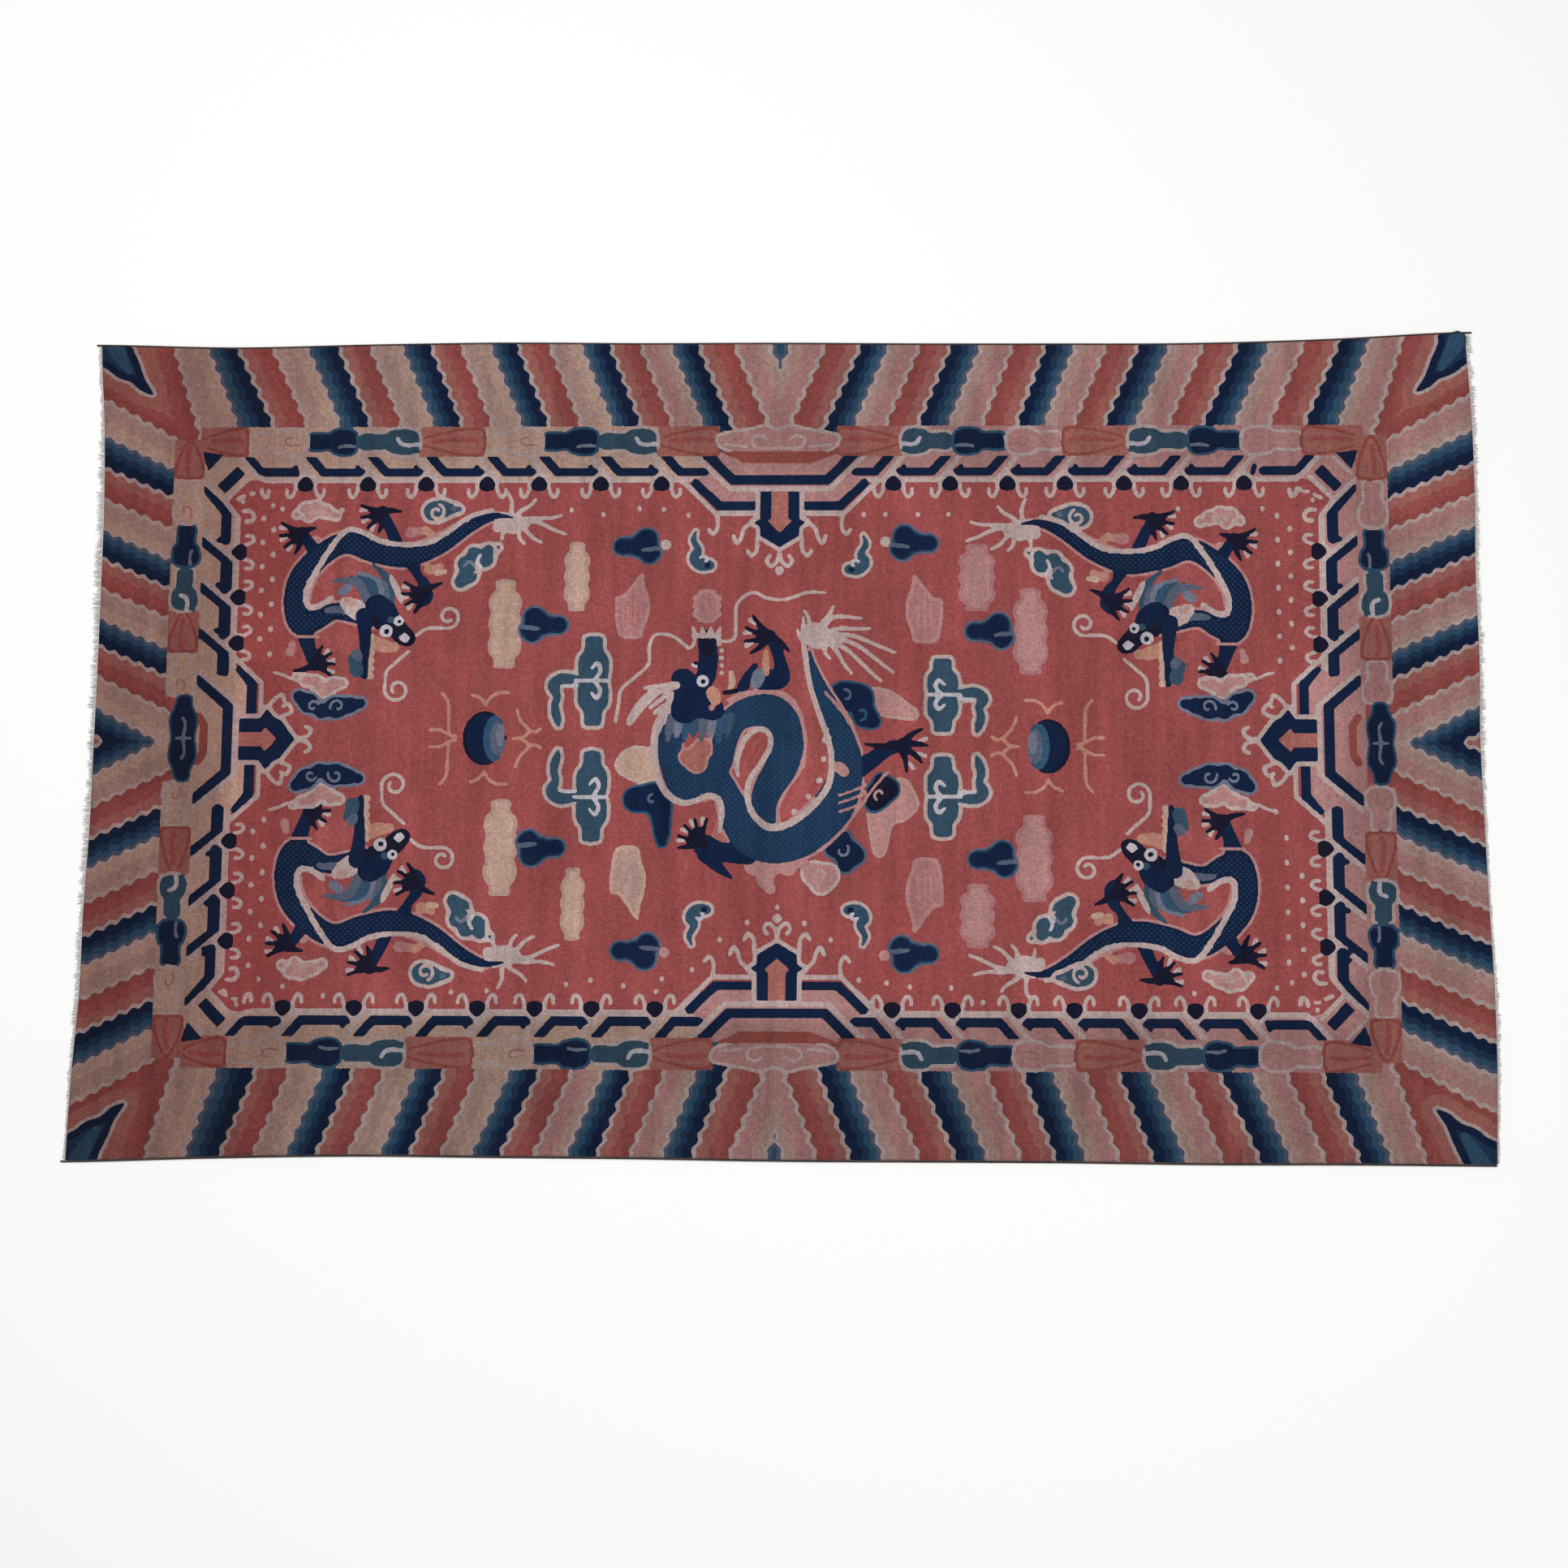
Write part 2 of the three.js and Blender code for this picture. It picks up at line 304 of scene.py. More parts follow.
# One joint: along is counted from the joint, away from the middle of the rug. A bar's last turn is
# counted from the joint before it.
LONG_FRET = {
    "rail": ((150, 499), (962, 499)), "rail_width": 9, "first": 128,
    "bar": ((-2, 552), (-34, 515)), "bar_end": (14, 515), "bar_width": 17,
    "slant": ((23, 552), (-16, 503)), "heel": ((16, 512), (20, 525)),
    "fork": ((3, 512), (15, 499)), "hook": ((18, 497), (20, 478), (27, 467), (34, 472), (35, 482)),
    "drop": ((-15, 494), (0, 508), (15, 494), (10, 480), (-10, 480)),
}
SHORT_FRET = {
    "rail": ((118, 1020), (440, 1020)), "rail_width": 12, "first": 110,
    "bar": ((27, 1088), (-14, 1037)), "bar_end": (17, 1037), "bar_width": 22,
    "slant": ((42, 1090), (-17, 1020)), "heel": ((20, 1040), (24, 1052)),
    "fork": ((3, 1034), (16, 1019)), "hook": ((14, 1014), (15, 999), (22, 987), (31, 991), (31, 1001)),
    "drop": ((-15, 1015), (0, 1029), (15, 1015), (10, 1001), (-10, 1001)),
}


def bar(points, width=20):
    knot(stroke(points, width, bent=False), "navy")


def cream(points, width=9, bent=False):
    knot(stroke(points, width, bent=bent), "cream")


def fret_run(at, joints, fret):
    """The fret of half a side: a rail, the bars from joint to joint, then what sits on each joint."""
    def from_joint(joint, rows, half=1):
        return at([(joint + half * along, away) for along, away in rows])

    cream(at(fret["rail"]), fret["rail_width"])
    end_along, end_away = fret["bar_end"]
    for before, joint in zip((fret["first"], *joints), joints):
        reach = (before - joint + end_along, end_away)
        bar(from_joint(joint, (*fret["bar"], reach)), fret["bar_width"])
        cream(from_joint(joint, fret["slant"]), 10)
    for joint in joints:
        bar(from_joint(joint, fret["heel"]), 10)
        for half in (-1, 1):
            cream(from_joint(joint, fret["fork"], half), 8)
            cream(from_joint(joint, fret["hook"], half), 7, bent=True)
        knot(patch(from_joint(joint, fret["drop"])), "ink")


def folded(half):
    """The places of one half of an outline and, backwards, of the other half across its first axis."""
    return [*half, *((-u, v) for u, v in reversed(half) if u)]


CORNER_HOOKS = (
    ((1009, 441), (996, 441), (988, 431), (993, 421), (1003, 421)), ((1020, 464), (1008, 470)),
    ((996, 476), (990, 476)), ((976, 482), (972, 470), (964, 468), (962, 480)),
)


def fret_corner(at):
    """Where the frets of two sides meet: one short bar on the slant, between the last bar of each."""
    red = ((1015, 430), (1040, 452), (1040, 458), (1000, 498), (985, 480))
    knot(patch(at(red), bent=False), "field red")
    cream(at(((1080, 508), (1034, 552))), 5)
    bar(at(((1080, 486), (1048, 448), (1040, 438), (1040, 386))))
    bar(at(((1042, 386), (1053, 385))), 10)
    bar(at(((1012, 556), (978, 516), (914, 516))), 17)
    cream(at(((1092, 506), (1045, 461), (1026, 438), (1020, 430))), 10)
    cream(at(((1024, 552), (985, 508), (968, 500), (955, 499))), 10)
    knot(patch(at(((1059, 490), (1045, 476), (1009, 513), (1023, 527))), bent=False), "navy", 1)
    cream(at(((1041, 463), (1000, 505))), 9)
    for hook in CORNER_HOOKS:
        cream(at(hook), 8, bent=True)


for side, end in QUARTERS:
    fret_run(Placed(side, end), LONG_JOINTS[side, end], LONG_FRET)
    fret_run(Placed(side, end, FRET_SHIFT[side], turned=True), SHORT_JOINTS[side, end], SHORT_FRET)
    fret_corner(Placed(side, end, FRET_SHIFT[side]))

# The bracket in the middle of each side, and the pendant that points inwards from it. All rows run
# along the side and then away from the middle of the rug.
LONG_HOOKS = (
    ((0, 362), (4, 344), (16, 334), (24, 344), (18, 354)),
    ((42, 388), (42, 366), (52, 354), (60, 364)),
    ((50, 420), (66, 406), (72, 388), (80, 378), (86, 392)),
    ((117, 432), (116, 408), (124, 396), (132, 404)),
)
for end in (-1, 1):
    at = Placed(1, end)
    knot(patch(at(folded(((150, 552), (130, 512), (156, 499), (108, 450)))), bent=False), "pink")
    knot(stroke(at(folded(((-100, 555), (-62, 541)))), 15, bent=False), "brick red")
    bar(at(folded(((-140, 552), (-88, 499)))), 19)
    cream(at(folded(((-164, 552), (-94, 482)))), 9)
    bar(at(folded(((-158, 493), (-112, 449)))), 17)
    cream(at(folded(((-186, 500), (-119, 434)))), 9)
    pendant = folded(((-37, 477), (-37, 424), (-50, 418), (-36, 409), (-36, 392), (0, 370)))
    ringed(patch(at(pendant), bent=False), ("cream", 8), ("navy", 0))
    cream(at(((-60, 482), (60, 482))), 9)
    knot(patch(at(folded(((-16, 477), (-16, 426), (-23, 420), (0, 398)))), bent=False), "madder")
    for half in (-1, 1):
        for hook in LONG_HOOKS:
            cream(at([(half * u, v) for u, v in hook]), 7.5, bent=True)
    knot(patch(at(((-6, 326), (0, 320), (6, 326), (0, 332)))), "cream", 3)

SHORT_HOOKS = (
    ((2, 890), (6, 874), (18, 868), (24, 878)), ((44, 922), (52, 905), (66, 912), (62, 922)),
    ((60, 950), (76, 938), (84, 924), (72, 920)),
)
SHORT_MIDDLE_Y = 6
for side, ground in ((-1, "tan"), (1, "pink")):
    at = Placed(side, 1, FRET_SHIFT[side], SHORT_MIDDLE_Y, turned=True)
    knot(patch(at(folded(((130, 1092), (118, 1030), (134, 1018), (100, 978)))), bent=False), ground)
    knot(stroke(at(folded(((42, 1078), (26, 1068)))), 15, bent=False), "brick red")
    bar(at(folded(((112, 1082), (62, 1025)))), 19)
    cream(at(folded(((137, 1092), (64, 1006)))), 9)
    for half in (-1, 1):
        bar(at([(half * 132, 1003), (half * 104, 981), (half * 46, 981)]), 18)
        cream(at([(half * 160, 1022), (half * 106, 963), (half * 50, 963)]), 9)
    pendant = folded(((40, 1003), (40, 964), (58, 951), (42, 938), (35, 924), (0, 898)))
    ringed(patch(at(pendant), bent=False), ("cream", 8), ("navy", 0))
    cream(at(((60, 1008), (-60, 1008))), 9)
    knot(patch(at(folded(((13, 1003), (13, 960), (23, 954), (0, 932)))), bent=False), "madder")
    for half in (-1, 1):
        for hook in SHORT_HOOKS:
            cream(at([(half * u, v) for u, v in hook]), 7.5, bent=True)


# The row of clouds between the fret and the standing water
def border_cloud(at, length, kind, ground):
    """A cloud lying along the border on its ground, its head at zero and its neck at the length."""
    def scaled(rows):
        return at([(share * length + more, v) for share, more, v in rows])

    bed = scaled(((0, -2, -29), (1, 3, -29), (1, 3, 29), (0, -2, 29)))
    knot(patch(bed, bent=False), "madder" if kind == "madder" else ground)
    body = patch(scaled(((0, 4, -18), (0.2, 0, -25), (0.46, 0, -21), (0.58, 0, -14), (1, -5, -15),
                         (1, -1, 2), (1, -6, 16), (0.58, 0, 16), (0.46, 0, 23), (0.2, 0, 25), (0, 4, 18),
                         (0, 0, 0))))
    if kind == "navy":
        ringed(body, ("mid blue", 4), ("navy", -1))
        knot(stroke(scaled(((0.06, 0, -8), (0.25, 0, -7), (0.38, 0, -10))), 6), "grey blue")
    elif kind == "teal":
        ringed(body, ("cream", 6), ("teal", 0))
        knot(stroke(scaled(((0, 0, -4), (0.18, 0, -6), (0.30, 0, -3), (0.36, 0, 7))), 8), "pale")
        knot(stroke(scaled(((0.02, 0, -17), (0.3, 0, -18))), 7), "teal")
    elif kind == "madder":
        tapered = patch(scaled(((0, 2, -22), (0.3, 0, -25), (0.6, 0, -19), (1, -3, -6), (1, -3, 7),
                                (0.6, 0, 19), (0.3, 0, 25), (0, 2, 22))))
        ringed(tapered, ("brick red", 2), ("madder", -3))
        knot(stroke(scaled(((0.12, 0, 2), (0.34, 0, 5), (0.8, 0, 1))), 9), "rose red")
    else:
        ringed(body, ("cream", 5), (ground, -1))
        knot(stroke(scaled(((0.1, 0, -5), (0.32, 0, -6), (0.38, 0, 6), (0.24, 0, 8))), 3.5), "dusty pink")


# The kinds in their order outwards, and where each starts in each quarter
LONG_KINDS = ("madder", "teal", "navy", "plain", "madder", "teal", "navy", "plain", "madder")
LONG_STARTS = {
    (-1, 1): (115, 232, 343, 448, 558, 680, 798, 893, 1005, 1095),
    (1, 1): (108, 228, 325, 425, 530, 652, 763, 863, 975, 1090),
    (-1, -1): (118, 232, 340, 447, 556, 680, 795, 900, 1007, 1090),
    (1, -1): (112, 228, 330, 432, 545, 668, 775, 877, 990, 1095),
}
SHORT_KINDS = ("plain", "madder", "teal", "navy", "plain", "madder")
SHORT_STARTS = {
    (-1, 1): (88, 172, 250, 335, 418, 505, 580),
    (1, 1): (75, 158, 240, 327, 408, 500, 585),
    (-1, -1): (75, 160, 248, 332, 420, 508, 585),
    (1, -1): (82, 165, 255, 335, 418, 507, 585),
}
CLOUD_GAP = 4
LONG_ROW_Y, SHORT_ROW_X, SHORT_ROW_SHIFT = 574, 1108, -6
for side, end in QUARTERS:
    ground = "tan" if side < 0 else "pink"
    starts = LONG_STARTS[side, end]
    for start, stop, kind in zip(starts, starts[1:], LONG_KINDS):
        at = Placed(side, end, side * start, end * LONG_ROW_Y)
        border_cloud(at, stop - start - CLOUD_GAP, kind, ground)
    starts = SHORT_STARTS[side, end]
    for start, stop, kind in zip(starts, starts[1:], SHORT_KINDS):
        at = Placed(side, end, side * SHORT_ROW_X + SHORT_ROW_SHIFT, end * start, turned=True)
        border_cloud(at, stop - start - CLOUD_GAP, kind, ground)
    at = Placed(side, end, FRET_SHIFT[side])
    knot(patch(at(((1090, 556), (1050, 550), (1078, 518))), bent=False), "navy")

# A wide cloud of two heads lies in the middle of each side
LONG_DOUBLE = ((-112, 8), (-100, -12), (-50, -22), (0, -27), (50, -22), (100, -12), (112, 8),
               (85, 16), (50, 22), (25, 28), (0, 20), (-25, 28), (-50, 22), (-85, 16))
LONG_DOUBLE_CURL = ((4, -14), (40, -12), (50, 4), (34, 12), (22, 4))
LONG_DOUBLE_X, LONG_BED_Y, SHORT_DOUBLE_X = -4, 546, 1106
for end in (-1, 1):
    at = Placed(1, end, LONG_DOUBLE_X, end * LONG_ROW_Y)
    ringed(patch(at(LONG_DOUBLE)), ("cream", 6), ("pink", 0))
    for half in (-1, 1):
        knot(stroke(at([(half * u, v) for u, v in LONG_DOUBLE_CURL]), 5), "cream")
        knot(stroke(at(((half * 60, -10), (half * 100, -6))), 5), "cream")
    at = Placed(1, end, LONG_DOUBLE_X, end * LONG_BED_Y)
    knot(patch(at(((-92, 8), (92, 8), (66, -14), (-66, -14))), bent=False), "brick red")
for side, middle, half_length in ((-1, 8, 78), (1, 0, 73)):
    at = Placed(side, 1, side * SHORT_DOUBLE_X, middle)
    long_half = [(-14, 0.75 * half_length), (-10, half_length), (10, half_length),
                 (18, 0.7 * half_length)]
    double = patch(at([(-20, 0), (-24, 34), *long_half, (26, 34), (22, 0), (26, -34),
                       *[(u, -v) for u, v in reversed(long_half)], (-24, -34)]))
    ringed(double, ("mid blue", 3), ("navy", -1))
    for half in (-1, 1):
        knot(stroke(at([(0, half * 6), (-3, half * 26), (2, half * 38)]), 6), "grey blue")
    knot(stroke(at([(-14, 0), (14, 0)]), 5), "grey blue")


# The motifs of the field share some ways of drawing
def oval(x, y, wide, tall, count=12):
    """Places round an oval."""
    turn = [2 * math.pi * k / count for k in range(count)]
    return [(x + wide * math.cos(a), y + tall * math.sin(a)) for a in turn]


def towards(x, y, aim, reach):
    """The place at a distance from another, with the aim in degrees."""
    angle = math.radians(aim)
    return x + reach * math.cos(angle), y + reach * math.sin(angle)


def curl(x, y, radius, first, turn, tightest=0.35):
    """Places along a curl that winds inwards, with both angles in degrees."""
    count = max(2, round(abs(turn) / 30))
    places = []
    for k in range(count + 1):
        share = k / count
        places.append(towards(x, y, first + turn * share, radius * (1 - (1 - tightest) * share)))
    return places


def blob(lobes, blend=5.0):
    """Signed distance to round lobes that run together. Rows hold x, y and radius."""
    rows = np.asarray(lobes, dtype=float)
    part, gx, gy = window(rows, rows[:, 2].max() + REACH)
    total = np.zeros(gx.shape)
    for x, y, radius in rows:
        total += np.exp((radius - np.hypot(gx - x, gy - y)) / blend)
    return part, -blend * np.log(total + 1e-99)


def tie_line(points, dye, width=None, bent=True):
    """Ties one stroke in one wool."""
    knot(stroke(points, width, bent), dye)


def tie_lobes(rows, dye):
    """Ties lobes that run together in one wool."""
    knot(blob(rows), dye)


def column(x, y, rows, lean=0.0):
    """Places round an upright form. Rows hold a height over its foot and the half width there."""
    right = [(x + lean * h + half, y + h) for h, half in rows]
    left = [(x + lean * h - half, y + h) for h, half in reversed(rows)]
    return right + left


def lattice(shape, ground, spot):
    """Single knots of a lighter wool in a diamond pattern over a body."""
    part, away = shape
    rows = np.arange(part[0].start, part[0].stop)[:, None]
    columns = np.arange(part[1].start, part[1].stop)[None, :]
    shifted = columns + 3 * (rows // 3 % 2)
    spots = (rows % 3 < 2) & (shifted % 6 < 2) & (away < -4) & (chart[part] == NUMBER[ground])
    chart[part][spots] = NUMBER[spot]


def claw(at, x, y, aim, reach, spread, toes, spur, spur_reach):
    """A dark paw: toes fanned about the aim, a spur, and a pale nail between each two toes."""
    knot(blob(at([(x, y, 11)])), "ink")
    gap = spread / (toes - 1)
    for k in range(toes):
        turn = aim + gap * (k - (toes - 1) / 2)
        toe = [(x, y, 14), (*towards(x, y, turn + 7, 0.55 * reach), 11), (*towards(x, y, turn, reach), 5)]
        knot(stroke(at(toe)), "ink")
    for k in range(1, toes):
        turn = aim + gap * (k - toes / 2) - 3
        nail = [(*towards(x, y, turn, 0.70 * reach), 4), (*towards(x, y, turn, 0.96 * reach), 9)]
        knot(stroke(at(nail), bent=False), "cream")
    spur_line = [(x, y, 14), (*towards(x, y, spur + 6, 0.5 * spur_reach), 11),
                 (*towards(x, y, spur, spur_reach), 5)]
    knot(stroke(at(spur_line)), "ink")


def hairs(at, x, y, rows, wave=4.0):
    """Loose pale hairs from a root. Rows hold an aim, a reach and a sideways bow."""
    for aim, reach, bow in rows:
        line = []
        for k in range(8):
            share = k / 7
            sideways = bow * math.sin(math.pi * share) + wave * share * math.sin(7 * share)
            place = towards(*towards(x, y, aim, share * reach), aim + 90, sideways)
            line.append((*place, 10 - 4 * share))
        knot(stroke(at(line)), "cream")


MANE_WOOLS = ("teal", "slate", "grey blue", "mid blue")


def mane(at, x, y, aim, locks, reach, width):
    """Locks of hair side by side along a cheek, each sweeping backwards, in four blues."""
    for k in range(locks):
        root = towards(x, y, aim + 80, 9 * k)
        far = reach * (0.88 + 0.12 * math.cos(2.6 * k))
        bend = towards(*root, aim + 6 * k, 0.5 * far)
        tip = towards(*bend, aim + 42 + 9 * k, 0.6 * far)
        knot(stroke(at([(*root, width), (*bend, width), (*tip, 5)])), MANE_WOOLS[k % len(MANE_WOOLS)])


def eye(at, x, y, r):
    """A pale ring and a dark pupil."""
    knot(patch(at(oval(x, y, r, r))), "pale")
    knot(patch(at(oval(x + 1, y - 1, 0.42 * r, 0.42 * r))), "ink")


# The dragons of the four corners, drawn for the back left one
CORNER_SPINE = (
    (-500, 428, 4), (-540, 429, 15), (-585, 410, 27), (-640, 374, 36), (-700, 354, 42), (-760, 364, 44),
    (-812, 380, 42), (-856, 358, 42), (-893, 316, 46), (-904, 268, 46), (-894, 226, 44), (-866, 232, 40),
    (-832, 248, 32), (-795, 246, 38), (-762, 240, 44),
)
CORNER_BACK_LINE = (
    (-540, 442, 8), (-580, 430, 8), (-620, 402, 8), (-655, 381, 8), (-700, 376, 8), (-745, 382, 9),
    (-782, 400, 9), (-812, 404, 9), (-840, 372, 9), (-866, 328, 9), (-884, 290, 9), (-882, 260, 10),
    (-862, 258, 10), (-838, 274, 9),
)
# x, y, aim, reach, spread, toes, and the aim and reach of the spur
CORNER_CLAWS = (
    (-897, 400, 204, 43, 100, 4, 18, 27),
    (-746, 440, 212, 42, 98, 4, 0, 35),
    (-664, 284, 198, 42, 95, 4, 29, 38),
    (-866, 146, 18, 39, 100, 4, 196, 40),
)
CORNER_LEGS = (
    ((-862, 348, 32), (-880, 376, 22), (-896, 400, 17)),
    ((-716, 372, 26), (-728, 402, 22), (-744, 434, 18)),
    ((-686, 340, 28), (-677, 318, 16), (-664, 300, 22), (-660, 276, 26), (-672, 258, 10)),
    ((-776, 240, 30), (-772, 200, 23), (-772, 160, 16), (-771, 124, 11)),
    ((-884, 204, 34), (-876, 176, 25), (-866, 148, 22)),
)
CORNER_TAIL = (
    (98, 58, 0), (44, 60, 6), (7, 92, 4), (-14, 102, 12), (-37, 66, 3), (-64, 46, 2), (-126, 38, 0),
)
# Soft patches beside the joints: x, y, lean across and up, radius and dye
CORNER_PATCHES = (
    (-872, 386, 12, -6, 8, "pink"), (-858, 366, 5, 6, 7, "pale"), (-692, 400, 20, 2, 11, "dusty pink"),
    (-664, 404, 14, -8, 8, "flame"), (-655, 328, 20, 6, 10, "flame"), (-640, 322, 14, 2, 6, "tan"),
    (-912, 170, 4, 16, 8, "pink"), (-892, 338, 3, -10, 8, "slate"),
)
# Each whisker's straight start, and the curl that it ends in
CORNER_WHISKERS = (
    (((-676, 202), (-660, 214), (-640, 217)), (-617, 238, 22, -90, 400)),
    (((-690, 172), (-712, 152), (-730, 134)), (-710, 100, 24, 160, 420)),
)


def corner_dragon(at):
    """The whole dragon, from the clouds behind it to the hair of its tail."""
    lobes = [(-908, 434, 8), (-892, 446, 12), (-872, 446, 15), (-884, 430, 10), (-852, 440, 13),
             (-834, 432, 9)]
    ringed(blob(at(lobes), 3.0), ("cream", 3), ("pink", -3))
    tie_lobes(at([(-880, 440, 8), (-862, 438, 7)]), "sand")
    tie_lobes(at([(-850, 310, 20), (-800, 330, 18), (-750, 322, 16), (-840, 285, 10)]), "rose red")
    tie_lobes(at([(-832, 200, 24), (-800, 186, 20), (-784, 160, 12)]), "rose red")
    for x, y, across, up, radius, dye in CORNER_PATCHES:
        tie_lobes(at([(x, y, radius), (x + across, y + up, 0.7 * radius)]), dye)
    body = stroke(at(CORNER_SPINE))
    knot(body, "pink", 5)
    for leg in CORNER_LEGS:
        tie_line(at(leg), "navy")
    knot(body, "navy")
    lattice(body, "navy", "mid blue")
    tie_line(at([(-903, 200), (-860, 200)]), "pink", 5, bent=False)
    # Cheek and mane
    tie_line(at([(-846, 250, 10), (-828, 252, 14), (-806, 248, 10)]), "slate")
    mane(at, -728, 268, 92, 6, 74, 17)
    tie_lobes(at([(-812, 266, 9), (-796, 256, 17), (-780, 244, 16)]), "cream")
    tie_lobes(at([(-806, 268, 7), (-798, 264, 6)]), "sand")
    tie_lobes(at([(-818, 286, 8), (-806, 294, 7)]), "grey blue")
    knot(stroke(at(CORNER_BACK_LINE)), "cream", 0.6)
    # Head, its snout down and inwards
    tie_lobes(at([(-752, 258, 22), (-738, 238, 26), (-720, 222, 20), (-704, 206, 17), (-692, 196, 14)]),
              "ink")
    tie_lobes(at([(-750, 262, 18), (-734, 248, 20), (-718, 236, 8)]), "navy")
    tie_lobes(at([(-724, 232, 7)]), "teal")
    eye(at, -733, 211, 12.5)
    eye(at, -710, 230, 9.5)
    knot(patch(at([(-710, 199), (-698, 208), (-687, 198), (-694, 188), (-702, 190)]), bent=False), "pale")
    tie_line(at([(-728, 318, 5), (-724, 308, 11), (-713, 286, 12), (-706, 266, 6)]), "cream")
    # Beard, and the frill down the arm
    tie_lobes(at([(-752, 188, 12), (-736, 182, 12), (-716, 180, 8)]), "flame")
    for k in range(6):
        tie_lobes(at([(-760, 200 - 15 * k, 7)]), "tan")
    tie_line(at(CORNER_LEGS[3]), "navy")
    tie_lobes(at([(-790, 158, 13), (-786, 136, 13)]), "teal")
    tie_lobes(at([(-788, 168, 8), (-782, 160, 6)]), "slate")
    # Whiskers
    for start, ending in CORNER_WHISKERS:
        tie_line(at([*start, *curl(*ending)]), "cream", 6.5)
    for row in CORNER_CLAWS:
        claw(at, *row)
    tie_lobes(at([(-500, 416, 20), (-478, 416, 10), (-522, 426, 12), (-530, 408, 8)]), "cream")
    hairs(at, -500, 418, CORNER_TAIL)
    tie_line(at([(-500, 428, 3), (-530, 431, 11), (-560, 424, 15)]), "navy")


# The clouds of the field
def side_clouds(at):
    """The pink cloud and the navy scroll between the side pendant and the dragon's foot."""
    lobes = [(-898, 126, 6), (-880, 119, 11), (-862, 116, 13), (-845, 102, 16), (-828, 112, 13),
             (-812, 114, 9)]
    ringed(blob(at(lobes), 3.0), ("cream", 3), ("pink", -3))
    tie_line(at([(-940, 134), (-925, 130), (-908, 122)]), "cream", 6)
    scroll = blob(at([(-893, 89, 11), (-874, 76, 19), (-850, 60, 13), (-822, 68, 21), (-797, 72, 15),
                      (-776, 76, 9)]))
    ringed(scroll, ("grey blue", 4), ("navy", -1))
    tie_line(at(curl(-820, 70, 14, 200, -300)), "grey blue", 5)
    tie_line(at(curl(-866, 70, 11, 20, 300)), "grey blue", 5)


def spiral_cloud(at):
    """A round teal cloud with a cream curl and a tail."""
    shape = blob(at([(-650, 436, 18), (-634, 440, 16), (-614, 441, 7), (-600, 440, 3)]))
    ringed(shape, ("cream", 7), ("teal", 0))
    tie_lobes(at([(-612, 441, 6)]), "slate")
    tie_line(at(curl(-644, 434, 16, 70, -380)), "cream", 6)


def long_teal_cloud(at):
    """The slanting two-headed teal cloud below the tail."""
    lobes = [(-596, 304, 11), (-582, 318, 17), (-590, 340, 12), (-572, 358, 13), (-550, 348, 15),
             (-545, 366, 9), (-526, 371, 3)]
    ringed(blob(at(lobes), 4.0), ("cream", 7), ("teal", 0))
    tie_line(at([(-590, 336), (-580, 344), (-572, 336)]), "grey blue", 6)
    tie_line(at([(-558, 332), (-565, 344), (-560, 356)]), "pale", 6.5)
    tie_line(at([(-562, 330), (-570, 322)]), "cream", 4, bent=False)


def teal_hook(at):
    """A little hooked cloud with a cream edge, its curl at the bottom."""
    shape = stroke(at([(-156, 400, 4), (-161, 384, 10), (-152, 366, 13), (-157, 350, 23), (-146, 338, 25),
                       (-130, 336, 18)]))
    ringed(shape, ("cream", 6), ("teal", 0))
    tie_line(at(curl(-140, 346, 9, 150, -210)), "pale", 5.5)
    tie_lobes(at([(-134, 336, 6)]), "navy")


# Height over the foot and half width there, and the places and widths of the side lobe
DOUBLE_CLOUD = (
    (0, 12), (8, 16), (26, 18), (40, 27), (62, 29), (84, 26), (106, 29), (128, 27), (142, 18), (160, 17),
    (168, 12),
)
DOUBLE_CLOUD_HOOK = (
    (-35, 86, 19), (-59, 88, 22), (-74, 75, 22), (-67, 55, 14), (-71, 36, 15), (-67, 16, 16), (-63, 0, 6),
)


def double_teal_cloud(x, foot, side, end, tall):
    """The stepped upright cloud with its side lobe and tail, beside the middle dragon."""
    def at(points):
        return [(x + side * u, end * (foot + tall * v), *width) for u, v, *width in points]

    main = patch(at(column(0, 0, DOUBLE_CLOUD)))
    hook = stroke(at(DOUBLE_CLOUD_HOOK))
    for shape in (hook, main):
        knot(shape, "cream", 7)
    for shape in (hook, main):
        knot(shape, "teal")
    tie_line(at([(-59, 74), (-31, 76)]), "pale", 7, bent=False)
    tie_line(at([(-33, 85), (27, 85)]), "pale", 7, bent=False)
    for half in (-1, 1):
        rows = [(-4, 108, 5), (7, 118, 8), (13, 104, 8), (4, 88, 7)]
        tie_line(at([(u, 85 + half * (v - 85), width) for u, v, width in rows]), "pale")


# Shares of the height over the middle and of the width, for the even and the pointed cloud
TALL_CLOUD = (
    (-0.5, 0.28), (-0.41, 0.30), (-0.34, 0.44), (-0.23, 0.50), (-0.12, 0.42), (0.0, 0.50), (0.12, 0.42),
    (0.23, 0.50), (0.33, 0.42), (0.39, 0.28), (0.5, 0.26),
)
POINTED_CLOUD = (
    (-0.5, -0.28), (-0.34, -0.44), (0.0, -0.5), (0.14, -0.46), (0.16, -0.26), (0.28, -0.06), (0.5, 0.28),
    (0.30, 0.36), (0.12, 0.48), (-0.12, 0.5), (-0.34, 0.36), (-0.5, 0.26),
)


